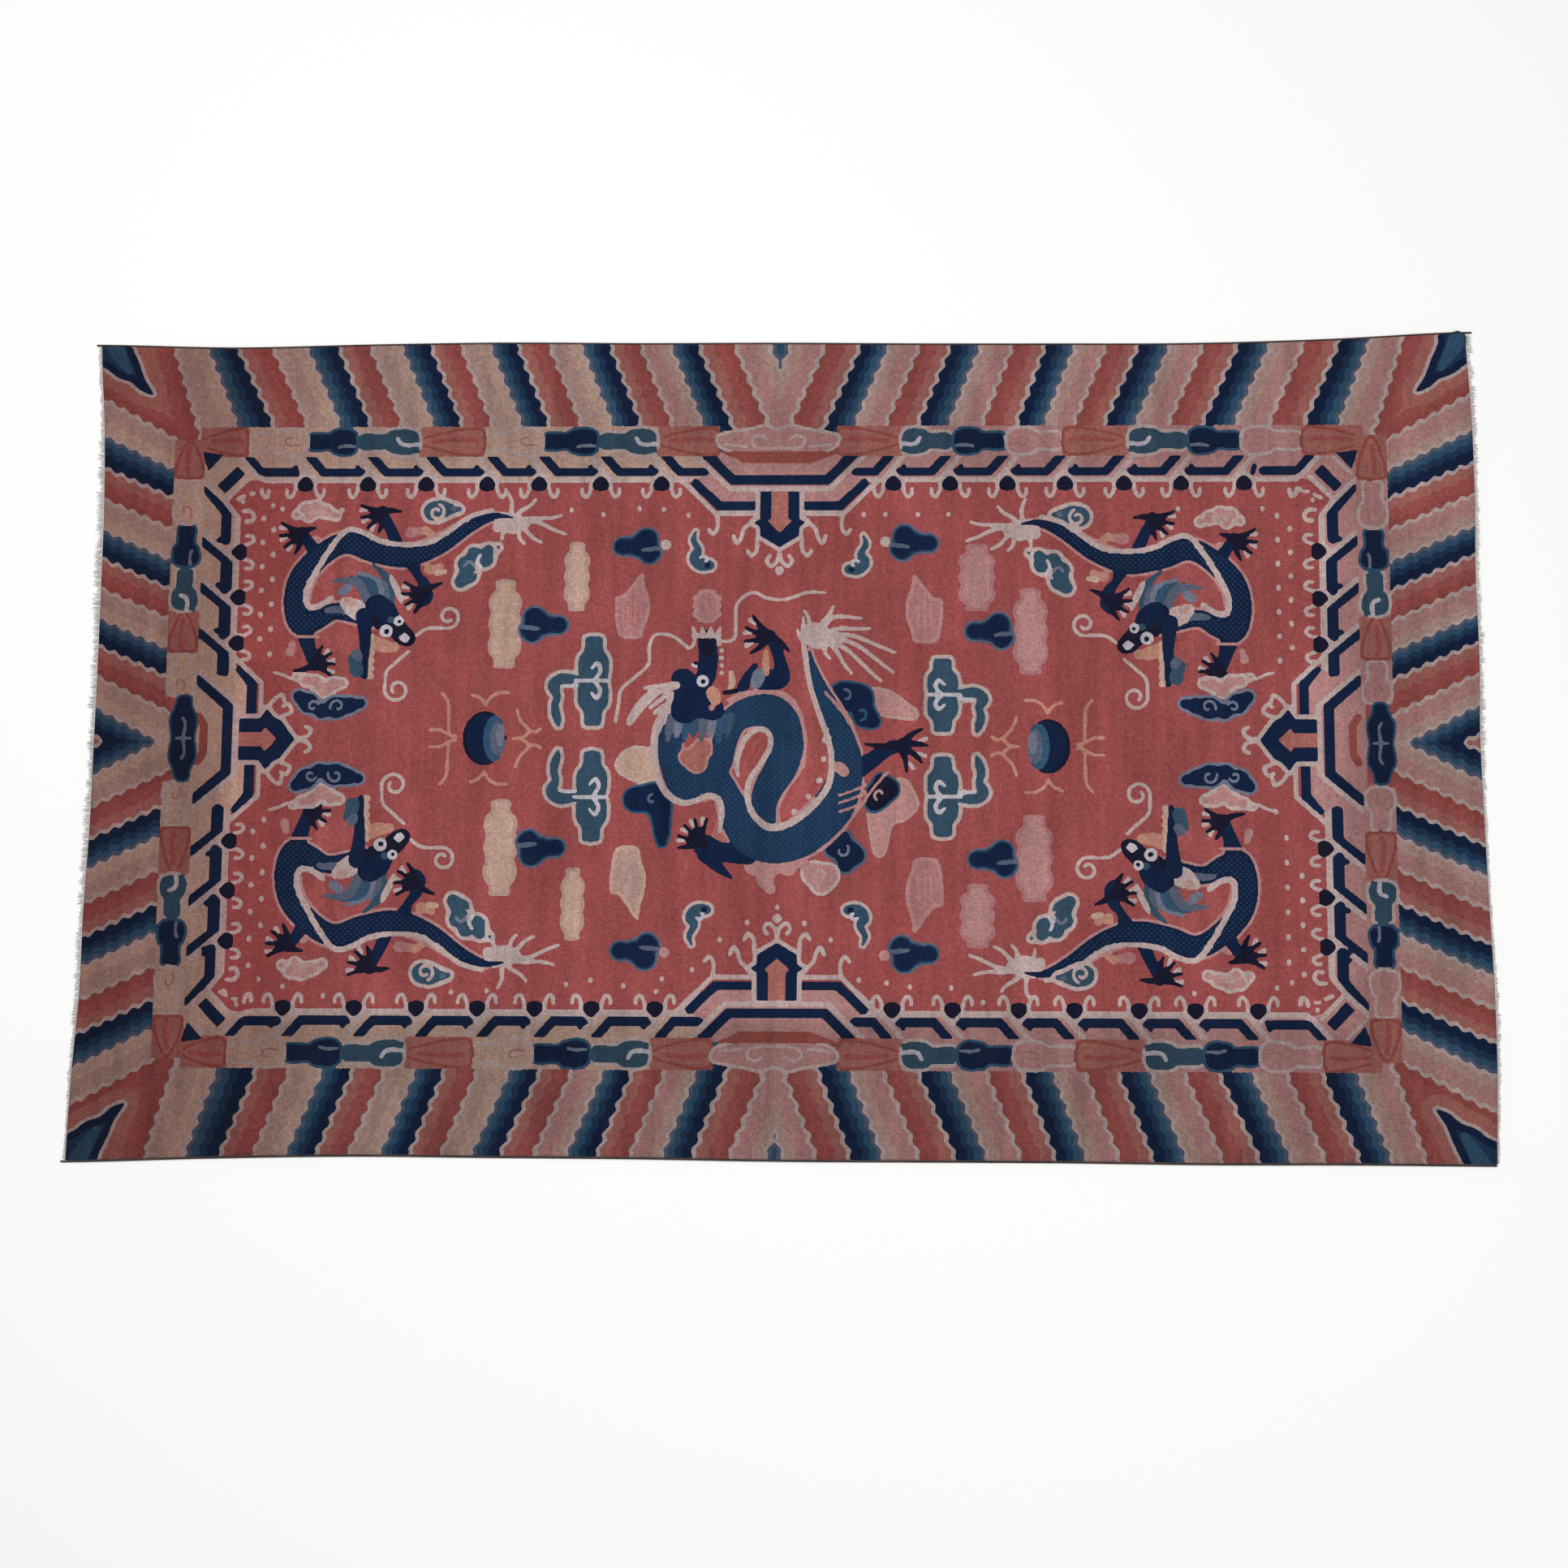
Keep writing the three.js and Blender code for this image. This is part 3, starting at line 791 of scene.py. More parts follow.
def tall_cloud(x, y, w, h, wool, point=0, shade=None, rim=None):
    """A tall soft cloud, wide in the middle; point 1 or -1 draws out one end."""
    if point:
        outward = 1 if x < 0 else -1
        outline = [(x + outward * u * w, y + point * v * h) for v, u in POINTED_CLOUD]
    else:
        outline = column(x, y, [(v * h, u * w) for v, u in TALL_CLOUD])
    shape = patch(outline)
    knot(shape, rim or wool, 0)
    knot(shape, wool, -7)
    if shade:
        for across, low, high in ((-0.17, -0.30, 0.05), (0.02, -0.34, 0.24), (0.17, -0.26, 0.08)):
            tie_line([(x + across * w, y + point * low * h), (x + across * w, y + point * high * h)],
                     shade, 4, bent=False)


# Lobes of a navy cloud with its head on the right: x, y, radius
NAVY_LOBES = ((4, 14, 19), (8, -16, 15), (-16, 0, 16), (-42, 0, 15), (20, -10, 8))


def navy_cloud(x, y, face, tip, half=1):
    """A dark head of two lobes with a tail and a light bar; face gives the side of the head."""
    shape = blob([(x + face * u, y + half * v, r) for u, v, r in NAVY_LOBES])
    ringed(shape, ("slate", 5), ("deep blue", 1), ("navy", -2))
    tie_line([(x - face * 4, y - 7 * half, 6), (x + face * 12, y - 5 * half, 9),
              (x + face * 26, y - 4 * half, 7)], "slate")
    if tip:
        tie_lobes([(x + face * 40, y + 3 * half, 10)], tip)


# How far each corner's motifs lie from where the back left ones would be if mirrored
CORNER_MOTIFS = (corner_dragon, side_clouds, spiral_cloud, long_teal_cloud, teal_hook)
CORNER_SHIFTS = {
    (-1, 1): ((0, 0), (0, -2), (0, 4), (0, 0), (0, 0)),
    (1, 1): ((-52, -14), (-28, -2), (-90, -8), (-62, -12), (0, -8)),
    (-1, -1): ((0, 20), (0, 8), (0, 8), (0, 10), (0, 26)),
    (1, -1): ((-50, 4), (-28, 8), (-90, 8), (-62, 10), (0, 26)),
}
for (side, end), shifts in CORNER_SHIFTS.items():
    for motif, shift in zip(CORNER_MOTIFS, shifts):
        motif(Placed(-side, end, *shift))

# x, foot, side, end, height against the back left one
DOUBLE_TEAL_CLOUDS = (
    (-344, 32, 1, 1, 1.0), (-344, 16, 1, -1, 1.0), (303, 21, -1, 1, 0.82), (303, 26, -1, -1, 0.88),
)
for row in DOUBLE_TEAL_CLOUDS:
    double_teal_cloud(*row)

# x, y, width, height, wool, end that is drawn out, wool of the streaks, wool of the rim
TALL_CLOUDS = (
    (-511, 224, 64, 166, "tan", 0, None, "sand"),
    (-378, 314, 50, 130, "tan", 0, "sand", "sand"),
    (-274, 260, 66, 124, "dusty pink", 1, "madder", "pink"),
    (-134, 258, 56, 62, "dusty pink", 0, None, "pink"),
    (-511, -196, 64, 176, "tan", 0, None, "sand"),
    (-376, -300, 46, 132, "tan", 0, "flame", "sand"),
    (-275, -262, 66, 136, "sand", -1, None, "tan"),
    (466, 210, 66, 160, "pink", 0, None, "dusty pink"),
    (367, 312, 70, 126, "pink", 0, "dusty pink", "dusty pink"),
    (270, 254, 70, 130, "dusty pink", 1, "pink", "pink"),
    (470, -214, 70, 158, "pink", 0, None, "dusty pink"),
    (366, -320, 66, 116, "pink", 0, "sand", "dusty pink"),
    (270, -284, 70, 138, "dusty pink", -1, "pink", "pink"),
)
for row in TALL_CLOUDS:
    tall_cloud(*row)

# x, y, side of the head, wool of the tip, upright or upside down
NAVY_CLOUDS = (
    (-452, 222, -1, None, 1),
    (-252, 372, 1, "cream", 1),
    (237, 378, -1, "cream", 1),
    (404, 210, 1, None, 1),
    (-450, -196, -1, None, -1),
    (-246, -386, 1, "pink", -1),
    (236, -390, -1, "pink", -1),
    (408, -216, 1, None, 1),
)
for row in NAVY_CLOUDS:
    navy_cloud(*row)

# Rows of white dots down the ends of the field: x, first y, pitch, count
DOT_COLUMNS = (
    (-970, 427, -46.2, 6), (-950, 405, -47.6, 6), (-970, -167, -49.6, 6), (-950, -145, -49, 5),
    (925, 430, -45.8, 7), (948, 405, -45, 6), (930, -175, -45.6, 6), (957, -245, -45, 5),
)
LOOSE_DOTS = (
    (-1010, 460), (-993, 475), (-953, 452), (-935, 445), (-822, 443), (-390, 442), (-330, 433),
    (-263, 445), (-217, 443), (-170, 432), (157, 433), (197, 433), (258, 433), (315, 433), (742, 443),
    (898, 443), (968, 480), (992, 460), (-950, -440), (-1013, -463), (-990, -487), (-905, -453),
    (-830, -470), (-595, -463), (-530, -460), (-385, -448), (-340, -440), (-280, -450), (-210, -437),
    (-220, -460), (-155, -420), (-105, -365), (-55, -333), (0, -305), (50, -335), (98, -365), (150, -438),
    (200, -443), (243, -450), (318, -452), (375, -478), (912, -127), (935, -440), (908, -450),
    (980, -490), (758, -460),
)
for x, first, pitch, count in DOT_COLUMNS:
    for k in range(count):
        knot(patch(oval(x, first + k * pitch, 5, 6, 8)), "cream")
for x, y in LOOSE_DOTS:
    knot(patch(oval(x, y, 4.5, 5.5, 8)), "cream")


# The two pearls, each in its flames
def pearl(x, y, lit):
    """A dark pearl, lighter towards one side."""
    knot(patch(oval(x, y, 41, 51)), "ink")
    knot(patch(oval(x + lit * 2, y, 36, 47)), "navy")
    knot(patch(oval(x + lit * 18, y, 21, 43)), "mid blue")
    knot(patch(oval(x + lit * 24, y, 14, 33)), "slate")
    knot(patch(oval(x + lit * 28, y + 6, 8, 22)), "grey blue")


# One flame to a row, drawn for the upper half; u grows away from the straight bracket
PEARL_FLAMES = (
    ((-82, 86), (-70, 70), (-68, 40), (-66, 8), (-54, 4)),
    ((-102, 16), (-84, 16), (-70, 8)),
    ((54, 0), (70, 2), (82, 15), (67, 32), (58, 54)),
    ((82, 15), (94, 12), (104, 18)),
    ((0, 62), (-10, 76), (-26, 82)),
    ((0, 62), (10, 78), (26, 86), (42, 86)),
)
for x, y, lit in ((-544, 8, 1), (497, -6, -1)):
    for half in (1, -1):
        for rows in PEARL_FLAMES:
            tie_line([(x + lit * u, y + half * v) for u, v in rows], "flame", 6)
    pearl(x, y, lit)


# Clouds behind the dragon in the middle: lobes, then the wool of the rim, its width, and the wool inside
MIDDLE_CLOUDS = (
    (((-262, -38, 28), (-238, -48, 28), (-284, -42, 12), (-226, -24, 12)), "cream", 5, "tan"),
    (((-262, -106, 22), (-236, -104, 22), (-216, -118, 18), (-216, -136, 15), (-214, -154, 13),
      (-213, -170, 11), (-213, -186, 7), (-228, -92, 14)), "mid blue", 4, "navy"),
    (((196, 76, 20), (176, 86, 14), (214, 68, 16), (232, 60, 10), (248, 54, 7)), "sand", 5, "pink"),
    (((122, 88, 26), (148, 84, 26), (160, 50, 20), (176, 40, 10), (104, 84, 12)), "mid blue", 4, "navy"),
    (((224, -88, 20), (236, -112, 20), (190, -130, 22), (188, -152, 17), (187, -172, 13), (187, -188, 10),
      (187, -204, 6), (222, -126, 18)), "sand", 4, "pink"),
    (((184, -98, 22), (204, -86, 18), (176, -114, 12), (190, -70, 12)), "mid blue", 4, "ink"),
    (((106, -192, 20), (132, -206, 22), (124, -228, 12), (120, -176, 12), (148, -210, 10)), "slate", 5,
     "navy"),
    (((66, -242, 18), (92, -246, 18), (80, -264, 14)), "cream", 6, "pink"),
    (((-46, -230, 12), (-16, -232, 16), (20, -232, 12), (50, -226, 6), (-24, -256, 10), (-12, -272, 6)),
     "pink", 3, "pink"),
)
# x, y, radius, first angle, turn and wool of each curl on them
CLOUD_CURLS = (
    (-232, -106, 10, 90, 220, "slate"),
    (124, 88, 13, 100, -200, "slate"),
    (152, 56, 14, -90, 200, "mid blue"),
    (118, -200, 14, 40, -240, "grey blue"),
    (80, -246, 12, 200, -330, "sand"),
    (188, -96, 12, 240, -220, "sand"),
)
MIDDLE_ARCH = (
    (-200, 24, 44), (-198, -30, 46), (-176, -78, 52), (-140, -76, 56), (-112, -40, 50), (-98, 6, 46),
    (-80, 44, 50), (-44, 60, 58), (-8, 54, 66), (17, 14, 62), (8, -40, 60), (-18, -86, 54),
    (-25, -120, 44), (-12, -146, 16),
)
MIDDLE_TAIL_END = (
    (-104, -62, 30), (-86, -112, 50), (-64, -164, 60), (-24, -188, 68), (26, -184, 70), (72, -154, 76),
    (108, -108, 74), (126, -48, 60), (119, 4, 50), (101, 52, 40), (80, 98, 27), (64, 142, 13),
    (57, 172, 5),
)
MIDDLE_BACK_LINE = (
    (45, 236, 6), (45, 196, 9), (50, 152, 9), (60, 100, 9), (78, 48, 10), (93, 4, 10), (99, -44, 11),
    (90, -84, 12), (62, -120, 12), (26, -148, 12), (-12, -158, 14), (-40, -140, 12), (-56, -106, 10),
    (-54, -72, 10), (-36, -44, 10), (-18, -14, 10), (-14, 10, 10), (-27, 25, 10), (-46, 22, 10),
    (-64, 2, 10), (-76, -34, 10), (-74, -62, 7),
)
MIDDLE_CHEST_LINE = (
    (-198, 92, 8), (-206, 62, 18), (-224, 30, 17), (-230, -4, 11), (-224, -56, 11), (-206, -94, 12),
    (-176, -112, 12), (-150, -107, 9), (-128, -98, 10), (-109, -107, 11), (-103, -132, 10),
    (-107, -166, 6),
)
MIDDLE_LEGS = (
    ((-30, 118, 44), (4, 122, 34), (1, 158, 22), (-8, 186, 24)),
    ((-66, 106, 22), (-56, 126, 18), (-44, 146, 10)),
    ((120, -60, 50), (164, -38, 32), (200, -12, 27), (226, -4, 24)),
    ((-56, -204, 46), (-100, -204, 36), (-132, -194, 44)),
    ((-132, -206, 34), (-108, -232, 20), (-86, -250, 7)),
)
MIDDLE_CLAWS = (
    (-16, 202, 176, 50, 92, 4, -40, 46),
    (224, -4, -20, 52, 112, 4, 178, 64),
    (-140, -184, 136, 44, 118, 5, -60, 20),
)
MIDDLE_TAIL = (
    (63, 64, 6), (22, 86, 24), (8, 96, 10), (-13, 144, 16), (-27, 154, 18), (-37, 142, 12), (-50, 92, 8),
    (-66, 46, 2), (116, 56, 6),
)
MIDDLE_CHEST = ((-168, -26, 13), (-140, -10, 16), (-150, -38, 16))
MIDDLE_HORNS = (
    ((-190, 108, 15), (-222, 100, 17), (-250, 76, 19), (-268, 52, 17), (-276, 38, 13)),
    ((-248, 103, 7), (-226, 106, 9), (-200, 108, 9)),
    ((-238, 66, 6), (-222, 78, 9), (-206, 92, 8)),
    ((-214, 66, 14), (-230, 56, 7)),
)
MIDDLE_WHISKERS = (
    ((-170, 180), (-192, 198), (-212, 205), (-232, 202), (-241, 180), (-242, 148), (-266, 124),
     (-292, 100), (-296, 76), (-302, 40)),
    ((-112, 192), (-90, 192), (-81, 204), (-80, 256), (-66, 276), (-46, 284), (-24, 274), (6, 270),
     (34, 278), (52, 284), (84, 284)),
)
# The red field that shows inside the coil, and what is drawn on it: the wool and the stroke
INSIDE_COIL = (
    ("rose red", ((50, 132, 12), (58, 92, 20), (68, 40, 30), (74, -20, 40), (66, -64, 42), (38, -102, 36),
                  (12, -132, 16))),
    ("brick red", ((66, 50, 10), (78, 0, 14), (80, -50, 14), (58, -96, 10))),
    ("pink", ((24, 82, 4), (42, 44, 5), (50, -6, 6), (44, -46, 6), (18, -86, 5), (2, -118, 6),
              (3, -146, 5))),
    ("rose red", ((-36, 4, 14), (-48, -24, 20), (-62, -56, 14))),
    ("brick red", ((-34, 2, 6), (-50, -34, 8))),
)


def middle_dragon():
    """The great dragon, coiled, with its head up and the clouds behind it."""
    at = Placed()
    for lobes, rim, width, wool in MIDDLE_CLOUDS:
        ringed(blob(lobes), (rim, width), (wool, 0))
    for x, y, radius, first, turn, wool in CLOUD_CURLS:
        tie_line(curl(x, y, radius, first, turn), wool, 5)
    tie_lobes([(-92, -150, 22), (-104, -176, 18)], "madder")
    body_parts = (stroke(MIDDLE_TAIL_END), stroke(MIDDLE_ARCH))
    for shape in body_parts:
        knot(shape, "pink", 5)
    for leg in MIDDLE_LEGS:
        tie_line(leg, "navy")
    for shape in body_parts:
        knot(shape, "deep blue")
        lattice(shape, "deep blue", "mid blue")
    # The knee of the raised leg
    tie_line([(-92, 80, 8), (-66, 92, 8), (-30, 96, 7), (6, 94, 7), (28, 78, 6), (46, 46, 4)], "pink")
    tie_lobes([(-36, 128, 12), (-42, 112, 10)], "grey blue")
    tie_line([(-24, 172, 9), (-24, 150, 14), (-22, 130, 8)], "flame")
    for dye, line in INSIDE_COIL:
        tie_line(line, dye)
    for x, y in ((86, 6), (84, -30), (76, -70), (56, -100), (30, -128)):
        tie_lobes([(x, y, 6)], "cream")
    tie_line(MIDDLE_BACK_LINE, "cream")
    # Chest, with its heart of red
    ringed(blob(MIDDLE_CHEST), ("pink", 4), ("madder", 0))
    tie_line(MIDDLE_CHEST_LINE, "cream")
    for k in range(8):
        x = -205 + 15.5 * k
        tie_line([(x + 8, 50, 16), (x + 3, 26, 15), (x, 2 + 9 * (k % 2), 5)], MANE_WOOLS[(k + 1) % 4])
    # Head, its snout straight up
    tie_lobes([(-178, 118, 22), (-160, 92, 32), (-132, 72, 26), (-174, 62, 26), (-118, 60, 16)], "navy")
    tie_line([(-134, 196, 34), (-130, 160, 36), (-134, 128, 36), (-146, 104, 36)], "navy", bent=False)
    tie_line([(-134, 196, 26), (-133, 176, 24)], "ink", bent=False)
    for k in range(4):
        tie_line([(-156 + 14 * k, 202, 11), (-160 + 17 * k, 218, 5)], "cream", bent=False)
    tie_line([(-158, 202), (-112, 202)], "cream", 10, bent=False)
    tie_line([(-156, 198), (-160, 182), (-170, 178)], "cream", 6)
    tie_line([(-113, 200), (-110, 184)], "cream", 6)
    tie_lobes([(-156, 148, 6.5)], "pale")
    tie_lobes([(-155, 150, 4)], "ink")
    eye(at, -141, 116, 11.5)
    for k in range(4):
        tie_lobes([(-106, 174 - 14 * k, 4.5)], "cream")
    tie_lobes([(-122, 94, 12), (-116, 80, 9)], "flame")
    tie_lobes([(-124, 66, 6)], "dusty pink")
    tie_line([(-89, 132, 9), (-86, 114, 13), (-90, 102, 8)], "tan")
    tie_line([(-100, 94), (-78, 98)], "ink", 9, bent=False)
    # Ears and horns, swept back
    for horn in MIDDLE_HORNS:
        tie_line(horn, "cream")
    # Whiskers
    for whisker in MIDDLE_WHISKERS:
        tie_line(whisker, "cream", 6.5)
    for row in MIDDLE_CLAWS:
        claw(at, *row)
    # Thigh folds along the right leg
    tie_lobes([(112, -44, 9), (122, -54, 9)], "pink")
    for start in (-98, -112, -128):
        tie_line([(112, start), (136, start + 8), (162, start + 20)], "pink", 4)
    tie_line([(76, -200), (112, -170), (148, -124), (176, -84), (202, -54)], "pink", 5)
    tie_line([(86, 96), (112, 66), (136, 30), (150, -4)], "pink", 5)
    # Tail
    tie_lobes([(72, 200, 23), (62, 216, 10), (90, 196, 12)], "cream")
    hairs(at, 74, 200, MIDDLE_TAIL)
    tie_line([(50, 190, 9), (38, 200, 7), (34, 214, 4)], "cream")


middle_dragon()


# The weaver leaves no knot alone among others
FEW_NEIGHBOURS = 3
LOOKS_OVER = 3


def without_lone_knots(labels):
    """Ties a knot that has few neighbours of its own wool in the wool of most of them."""
    padded = np.pad(labels, 1, mode="edge")
    high, wide = labels.shape
    around = np.stack([padded[1 + dy:1 + dy + high, 1 + dx:1 + dx + wide]
                       for dy in (-1, 0, 1) for dx in (-1, 0, 1) if dx or dy])
    lone = (around == labels).sum(axis=0) < FEW_NEIGHBOURS
    votes = np.zeros((len(NAMES), int(lone.sum())), dtype=int)
    for row in around[:, lone]:
        votes[row, np.arange(len(row))] += 1
    labels[lone] = votes.argmax(axis=0)


for _ in range(LOOKS_OVER):
    without_lone_knots(chart)


# The loom's outline: how far each side drifts outwards and each end inwards, at eleven
# places from left to right and from front to back
LENGTH, WIDTH = 2600.0, 1524.0
PILE_TOP = 8.0
SWELL = 0.6
ROUND_IN = 4.0
SIDE_DRIFT = {
    "front": (9, 1, -4, -3, -2, 1, 1, 1, 3, 2, 3),
    "back": (2, -4, 1, 4, 2, 2, 0, -1, -1, 6, 19),
}
END_DRIFT = {
    "left": (7, 11, 19, 20, 25, 26, 27, 27, 26, 20, 9),
    "right": (5, 0, 0, 5, 9, 12, 9, 11, 8, 10, 17),
}


def smooth_along(row, at):
    """A smooth curve through the evenly spaced values of a row, read at shares of its length."""
    row = np.asarray(row, dtype=float)
    last = len(row) - 1
    place = np.clip(at, 0, 1) * last
    i = np.minimum(np.floor(place), last - 1).astype(int)
    t = place - i
    a, b, c, d = (row[np.clip(i + k, 0, last)] for k in (-1, 0, 1, 2))
    twice = 2 * b + (c - a) * t + (2 * a - 5 * b + 4 * c - d) * t ** 2 + (3 * b - a - 3 * c + d) * t ** 3
    return twice / 2


def left_rim(across):
    return -LENGTH / 2 + smooth_along(END_DRIFT["left"], across)


def right_rim(across):
    return LENGTH / 2 - smooth_along(END_DRIFT["right"], across)


def front_rim(along):
    return -WIDTH / 2 - smooth_along(SIDE_DRIFT["front"], along)


def back_rim(along):
    return WIDTH / 2 + smooth_along(SIDE_DRIFT["back"], along)


def cloth_point(along, across, inset):
    """The place at shares of the way along and across a cloth that is drawn in by inset."""
    left, right = left_rim(across) + inset, right_rim(across) - inset
    front, back = front_rim(along) + inset, back_rim(along) - inset
    return left + (right - left) * along, front + (back - front) * across


def cloth_shares(x, y, inset):
    """The shares along and across of a place: the other way round."""
    along, across = (x + LENGTH / 2) / LENGTH, (y + WIDTH / 2) / WIDTH
    for _ in range(8):
        left, right = left_rim(across) + inset, right_rim(across) - inset
        front, back = front_rim(along) + inset, back_rim(along) - inset
        along = np.clip((x - left) / (right - left), 0, 1)
        across = np.clip((y - front) / (back - front), 0, 1)
    return along, across


def pile_height(along, across):
    """The height of the clipped pile, which swells and sinks a little in long waves."""
    long_wave = np.sin(7.1 * along + 1.3) * np.sin(5.3 * across + 0.4)
    slanting_wave = np.sin(15.7 * along - 6.2 * across)
    return PILE_TOP + SWELL * (0.65 * long_wave + 0.35 * slanting_wave)


def rim_shares(spacing):
    """Shares along and across of places round the rim, front side first."""
    n, m = int(LENGTH / spacing), int(WIDTH / spacing)
    s, t = np.arange(n) / n, np.arange(m) / m
    along = np.concatenate([s, np.ones(m), 1 - s, np.zeros(m)])
    across = np.concatenate([np.zeros(n), t, np.ones(n), 1 - t])
    return along, across


def area_outlines(labels):
    """Chains of grid corners that part the areas of different wool."""
    width = labels.shape[1] + 1
    r, c = np.nonzero(labels[:, 1:] != labels[:, :-1])
    upright = (r * width + c + 1, (r + 1) * width + c + 1)
    r, c = np.nonzero(labels[1:, :] != labels[:-1, :])
    level = ((r + 1) * width + c, (r + 1) * width + c + 1)
    a = np.concatenate([upright[0], level[0]])
    b = np.concatenate([upright[1], level[1]])
    count = len(a)
    corner = np.concatenate([a, b])
    order = np.argsort(corner, kind="stable")
    opposite = np.concatenate([b, a])[order].tolist()
    edge = np.concatenate([np.arange(count), np.arange(count)])[order].tolist()
    corners, first, degree = np.unique(corner[order], return_index=True, return_counts=True)
    place = {value: i for i, value in enumerate(corners.tolist())}
    first, degree = first.tolist(), degree.tolist()
    used = bytearray(count)

    def walk(start, slot):
        chain = [start]
        while not used[edge[slot]]:
            used[edge[slot]] = 1
            chain.append(opposite[slot])
            i = place[opposite[slot]]
            if degree[i] != 2:
                break
            slot = first[i] + (1 if used[edge[first[i]]] else 0)
        return chain

    chains = []
    for forks in (True, False):
        for i, value in enumerate(corners.tolist()):
            if (degree[i] != 2) != forks:
                continue
            for slot in range(first[i], first[i] + degree[i]):
                if not used[edge[slot]]:
                    chains.append(walk(value, slot))
    return chains, width


def softened(line, closed, rounds):
    """A stepped chain drawn smooth, its ends kept unless it is closed."""
    for _ in range(rounds):
        moved = line.copy()
        moved[1:-1] = 0.25 * line[:-2] + 0.5 * line[1:-1] + 0.25 * line[2:]
        if closed:
            moved[0] = moved[-1] = 0.25 * line[-2] + 0.5 * line[0] + 0.25 * line[1]
        line = moved
    return line


def thinned(line, tolerance):
    """Leaves out the points of a chain that lie within tolerance of the rest."""
    keep = np.zeros(len(line), dtype=bool)
    keep[[0, -1]] = True
    spans = [(0, len(line) - 1)]
    while spans:
        i, j = spans.pop()
        if j - i < 2:
            continue
        dx, dy = line[j] - line[i]
        rest = line[i + 1:j] - line[i]
        length = math.hypot(dx, dy)
        if length > 1e-9:
            away = np.abs(dx * rest[:, 1] - dy * rest[:, 0]) / length
        else:
            away = np.hypot(rest[:, 0], rest[:, 1])
        k = int(away.argmax())
        if away[k] > tolerance:
            keep[i + 1 + k] = True
            spans += [(i, i + 1 + k), (i + 1 + k, j)]
    return line[keep]


SOFTENINGS = 3
# Places that fall in the same fiftieth of a millimetre are one point
STEPS_A_MM = 50


def drawn_face(inset, tolerance, rim_spacing, swell_spacing):
    """Triangles that follow the areas of wool inside the rim, the dye of each, and the rim's loop."""
    chains, width = area_outlines(chart)
    points, edges, number = [], [], {}

    def point(x, y):
        key = (round(x * STEPS_A_MM), round(y * STEPS_A_MM))
        if key not in number:
            number[key] = len(points)
            points.append((x, y))
        return number[key]

    corner_x, corner_y = COLUMN_X[0] - STEP / 2, ROW_Y[0] - STEP / 2
    for chain in chains:
        chain = np.array(chain)
        line = np.column_stack([chain % width, chain // width]).astype(float)
        closed = len(chain) > 3 and chain[0] == chain[-1]
        line = thinned(softened(line, closed, SOFTENINGS), tolerance / STEP)
        marks = [point(corner_x + x * STEP, corner_y + y * STEP) for x, y in line.tolist()]
        edges += [(i, j) for i, j in zip(marks[:-1], marks[1:]) if i != j]
    along, across = rim_shares(rim_spacing)
    rim_x, rim_y = cloth_point(along, across, inset)
    marks = [point(x, y) for x, y in zip(rim_x.tolist(), rim_y.tolist())]
    edges += list(zip(marks, marks[1:] + marks[:1]))
    if swell_spacing:
        n, m = int(LENGTH / swell_spacing), int(WIDTH / swell_spacing)
        for i in range(1, n):
            for j in range(1, m):
                x, y = cloth_point(i / n, j / m, inset)
                point(float(x), float(y))
    place, joins, faces, _, origins, _ = delaunay_2d_cdt(points, edges, [], 0, 1e-4)
    xy = np.array([tuple(v) for v in place])
    triangles = np.array([tuple(f) for f in faces])
    kept = np.array([bool(origin) for origin in origins])
    borders = edge_keys(np.array(joins)[kept], len(xy))
    dyes, inside = triangle_dyes(xy, triangles, borders)
    triangles, dyes = triangles[inside], dyes[inside]
    used, index = np.unique(triangles, return_inverse=True)
    triangles = index.reshape(triangles.shape)
    return xy[used], triangles, dyes, outer_loop(triangles, len(used))


def edge_keys(pairs, count):
    """One number for each pair of points, whichever comes first."""
    return pairs.min(axis=1) * count + pairs.max(axis=1)


